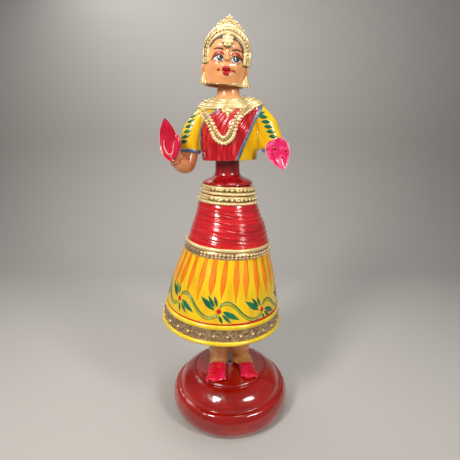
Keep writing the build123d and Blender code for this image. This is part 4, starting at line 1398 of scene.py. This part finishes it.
def arch_point(turn, half, top, out):
    """A point of the crown: turn in degrees from the top of an arch that lies on the head's front.

    half is the arch's half width, top its height, and out how far it stands off the head.
    """
    x = half * math.sin(math.radians(min(abs(turn), 90)))
    z = ARCH_FOOT + (top - ARCH_FOOT) * math.cos(math.radians(min(abs(turn), 90)))
    z -= 0.4 * max(0.0, abs(turn) - 90)
    radius = float(HEAD_BODY.radius(z)) + out
    y = -HEAD_DEPTH * math.sqrt(max(radius ** 2 - x ** 2, (0.22 * radius) ** 2))
    return np.array([math.copysign(x, turn) + ARCH_SHIFT, y, z])


def arch_roll(bits, arch, radius, turns=(-112, 112), steps=110):
    """A roll along an arch of the crown."""
    path = [[*moved(HEAD, arch_point(turn, *arch)), radius] for turn in np.linspace(*turns, steps)]
    path = np.array(path)
    bits.tube([ring_round(path, i, 14) for i in range(steps)])


def flower(bits, centre, size, petals):
    """A small flower of beads, facing the front."""
    bits.ball(moved(HEAD, centre + np.array([0, -0.8, 0])), size * 0.5)
    for i in range(petals):
        way = 2 * math.pi * i / petals
        spot = centre + size * np.array([math.cos(way), 0, math.sin(way)])
        bits.ball(moved(HEAD, spot), size * 0.48, (1, 0.8, 1))


CROWN_FLOWERS = [(0, 404.0, 2.0, 7), (-4.4, 401.6, 2.0, 7), (4.4, 401.6, 2.0, 7), (-8.8, 398.6, 2.0, 6),
                 (8.8, 398.6, 2.0, 6), (-12.6, 395.0, 1.7, 6), (12.6, 395.0, 1.7, 6), (0, 399.4, 2.0, 7),
                 (-5.0, 396.8, 1.8, 6), (5.0, 396.8, 1.8, 6), (-9.6, 393.8, 1.5, 6), (9.6, 393.8, 1.5, 6)]


def make_crown():
    """The crown: rolls round a row of dents, with flowers massed at the top, and dark gold between the rolls,
    beads and flowers as painted shade.
    """
    gold, dark = Bits(), Bits()
    for arch, radius in (((16.6, 391.2, 0.9), 1.6), ((18.6, 394.4, 1.0), 2.1), ((20.5, 398.0, 1.4), 2.2),
                         ((19.8, 396.6, 0.2), 3.0)):
        arch_roll(gold, arch, radius)
    # Thin dark gold rolls between the gold rolls and along the crown's lower edge: painted shade.
    arch_roll(dark, (20.4, 397.2, 3.4), 0.45, turns=(-100, -28))
    arch_roll(dark, (21.8, 399.6, 2.2), 0.4, turns=(-100, -34))
    arch_roll(dark, (15.2, 388.8, 0.1), 0.5, turns=(-100, 100))
    # Gold beads, with dark gold beads between them as painted shade.
    for turn in np.arange(-104, 105, 9.5):
        gold.ball(moved(HEAD, arch_point(turn, 18.8, 395.0, 2.7)), 1.0, (1, 0.7, 1))
        dark.ball(moved(HEAD, arch_point(turn + 4.7, 18.7, 394.6, 2.7)), 0.85, (1, 0.7, 1))
    for turn in np.arange(-80, 81, 8.0):
        gold.ball(moved(HEAD, arch_point(turn, 21.0, 399.4, 2.0)), 1.2)
    for x, z, size, petals in CROWN_FLOWERS:
        depth = HEAD_DEPTH * math.sqrt(max(0.0, float(HEAD_BODY.radius(z)) ** 2 - x ** 2)) + 2.6
        flower(gold, np.array([x + ARCH_SHIFT, -max(depth, 6.0), z]), size, petals)
        flower(gold, np.array([x * 0.92 + ARCH_SHIFT, -max(depth, 6.0) + 3.6, z + 1.2]), size, petals)
        gold.ball(moved(HEAD, np.array([x * 0.9 + ARCH_SHIFT, -max(depth, 6.0) + 3.0, z - 1.0])), 3.0)
    # Dark gold beads under each flower: painted shade.
    for x, z, size, petals in CROWN_FLOWERS:
        depth = HEAD_DEPTH * math.sqrt(max(0.0, float(HEAD_BODY.radius(z)) ** 2 - x ** 2)) + 4.0
        for away in (-1.9, 1.9):
            dark.ball(moved(HEAD, np.array([x + ARCH_SHIFT + away, -max(depth, 7.4), z - 1.9])), 0.75,
                      (1, 0.8, 1))
    for x, z, size in ((0, 407.4, 1.2), (-2.2, 405.8, 1.3), (2.2, 405.8, 1.3), (-7.4, 402.6, 1.1),
                       (7.4, 402.6, 1.1)):
        gold.ball(moved(HEAD, np.array([x + ARCH_SHIFT, -6.4, z])), size)
    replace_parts(gold.piece("gold_crown", "head", PAINT["gold"], "gold_paint"), "crown")
    dark.piece("crown_channel_shade", "head", PAINT["shade_gold"], "gold_paint")


def make_tikka(head_tree):
    """The jewel on the forehead, hanging from the crown."""
    bits = Bits()
    place = Projected(head_tree, HEAD).at
    x = FACE_CENTRE_X - 0.8
    rim = Bits()
    for u, v, size in ((0, 391.6, 2.4), (0, 388.8, 2.6), (0, 386.4, 2.3), (-2.9, 390.4, 1.9),
                       (2.9, 390.4, 1.9),
                       (-2.9, 387.4, 1.8), (2.9, 387.4, 1.8), (-1.9, 385.0, 1.4), (1.9, 385.0, 1.4),
                       (0, 384.4, 1.2)):
        bits.ball(place(x + u, v, 1.3), size, (1, 0.7, 1))
    # A dark gold arc under the jewel: painted shade.
    rim.stroke(place, [(x - 4.6, 387.0, 0.3), (x - 3.2, 384.4, 0.7), (x, 383.0, 0.8), (x + 3.2, 384.4, 0.7),
                       (x + 4.6, 387.0, 0.3)], thick=0.8, steps=24)
    rim.piece("jewel_under_shade", "head", PAINT["shade_gold"], "gold_paint")
    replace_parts(bits.piece("forehead_jewel", "head", PAINT["gold"], "gold_paint"), "forehead_ornament")


# ---------------------------------------------------------------- camera, light and floor


def make_camera():
    """The camera, a little above the doll's shoulders and looking down."""
    data = bpy.data.cameras.new("camera")
    data.lens = 27.39
    data.sensor_width = 36.0
    camera = bpy.data.objects.new("camera", data)
    camera.location = (0.0, -0.357, 0.301)
    camera.rotation_euler = (math.radians(90 - 14.6), 0, 0)
    bpy.context.scene.collection.objects.link(camera)
    bpy.context.scene.camera = camera


def area_light(name, place, target, size, power, colour=(1, 1, 1)):
    """A soft box light aimed at a point."""
    data = bpy.data.lights.new(name, "AREA")
    data.shape = "RECTANGLE"
    data.size, data.size_y = size
    data.energy = power
    data.color = colour
    light = bpy.data.objects.new(name, data)
    light.location = place
    aim = Vector(target) - Vector(place)
    light.rotation_euler = aim.to_track_quat("-Z", "Y").to_euler()
    bpy.context.scene.collection.objects.link(light)


FLOOR_COLOUR = (0.42, 0.40, 0.375, 1)
SKY_COLOUR = (0.8, 0.82, 0.86, 1)
SKY_STRENGTH = 0.22


def make_studio():
    """A pale floor that curves up behind, soft lights and an even sky."""
    bits = Bits()
    width, back = 1600.0, 700.0
    rows = [(-900.0, -0.0), (back - 300, 0.0)]
    rows += [(back - 300 + 300 * math.sin(a), 300 - 300 * math.cos(a)) for a in np.linspace(0.1,
                                                                                            math.pi / 2, 12)]
    rows += [(back, 1400.0)]
    ring = []
    for y, z in rows:
        ring.append([(-width, y, z), (width, y, z), (width, y + 4, z - 4), (-width, y + 4, z - 4)])
    bits.tube(ring)
    floor = bpy.data.objects.new("floor", bits.mesh("floor"))
    bpy.context.scene.collection.objects.link(floor)
    material, _, shader = nodes_of("pale_floor")
    shader.inputs["Base Color"].default_value = FLOOR_COLOUR
    shader.inputs["Roughness"].default_value = 0.7
    floor.data.materials.append(material)
    area_light("key", (-0.45, -0.55, 0.75), (0, 0, 0.2), (0.18, 0.32), 6.4, (1, 0.96, 0.90))
    area_light("fill", (0.55, -0.5, 0.62), (0, 0, 0.2), (0.16, 0.28), 3.6, (1, 0.97, 0.93))
    area_light("top", (0.05, 0.05, 1.1), (0, 0, 0.2), (0.5, 0.25), 3.6)
    area_light("back", (-0.4, 0.45, 0.95), (0, 0, 0.25), (0.5, 0.5), 2.4)
    world = bpy.data.worlds.new("world")
    world.use_nodes = True
    world.node_tree.nodes["Background"].inputs["Color"].default_value = SKY_COLOUR
    world.node_tree.nodes["Background"].inputs["Strength"].default_value = SKY_STRENGTH
    bpy.context.scene.world = world
    bpy.context.scene.view_settings.view_transform = "Standard"


# ---------------------------------------------------------------- the doll


def main():
    """Build the whole scene."""
    make_camera()
    make_studio()
    dress_hidden_nodes()
    make_base()
    make_leg(-1, "right_leg_form")
    make_leg(1, "left_leg_form")
    make_skirt_shell()
    make_stripes()
    make_vine()
    make_hem()
    make_belts()
    make_hip_band()
    make_post()
    torso = make_torso()
    torso_tree = tree_of(torso)
    front, back = Projected(torso_tree, TORSO), Projected(torso_tree, TORSO, 1)
    make_drape(front, back)
    make_sleeve_leaves(front)
    make_cuffs()
    make_necklaces(front, torso_tree)
    make_forearm(-1, "raised_forearm", "right_forearm")
    make_forearm(1, "lowered_forearm", "left_forearm")
    make_hands()
    head = make_head()
    make_hair()
    make_ears()
    make_earring(-1, "right_jhumka", "right_earring")
    make_earring(1, "left_jhumka", "left_earring")
    make_face_paint(head)
    make_crown()
    make_tikka(tree_of(head))


main()
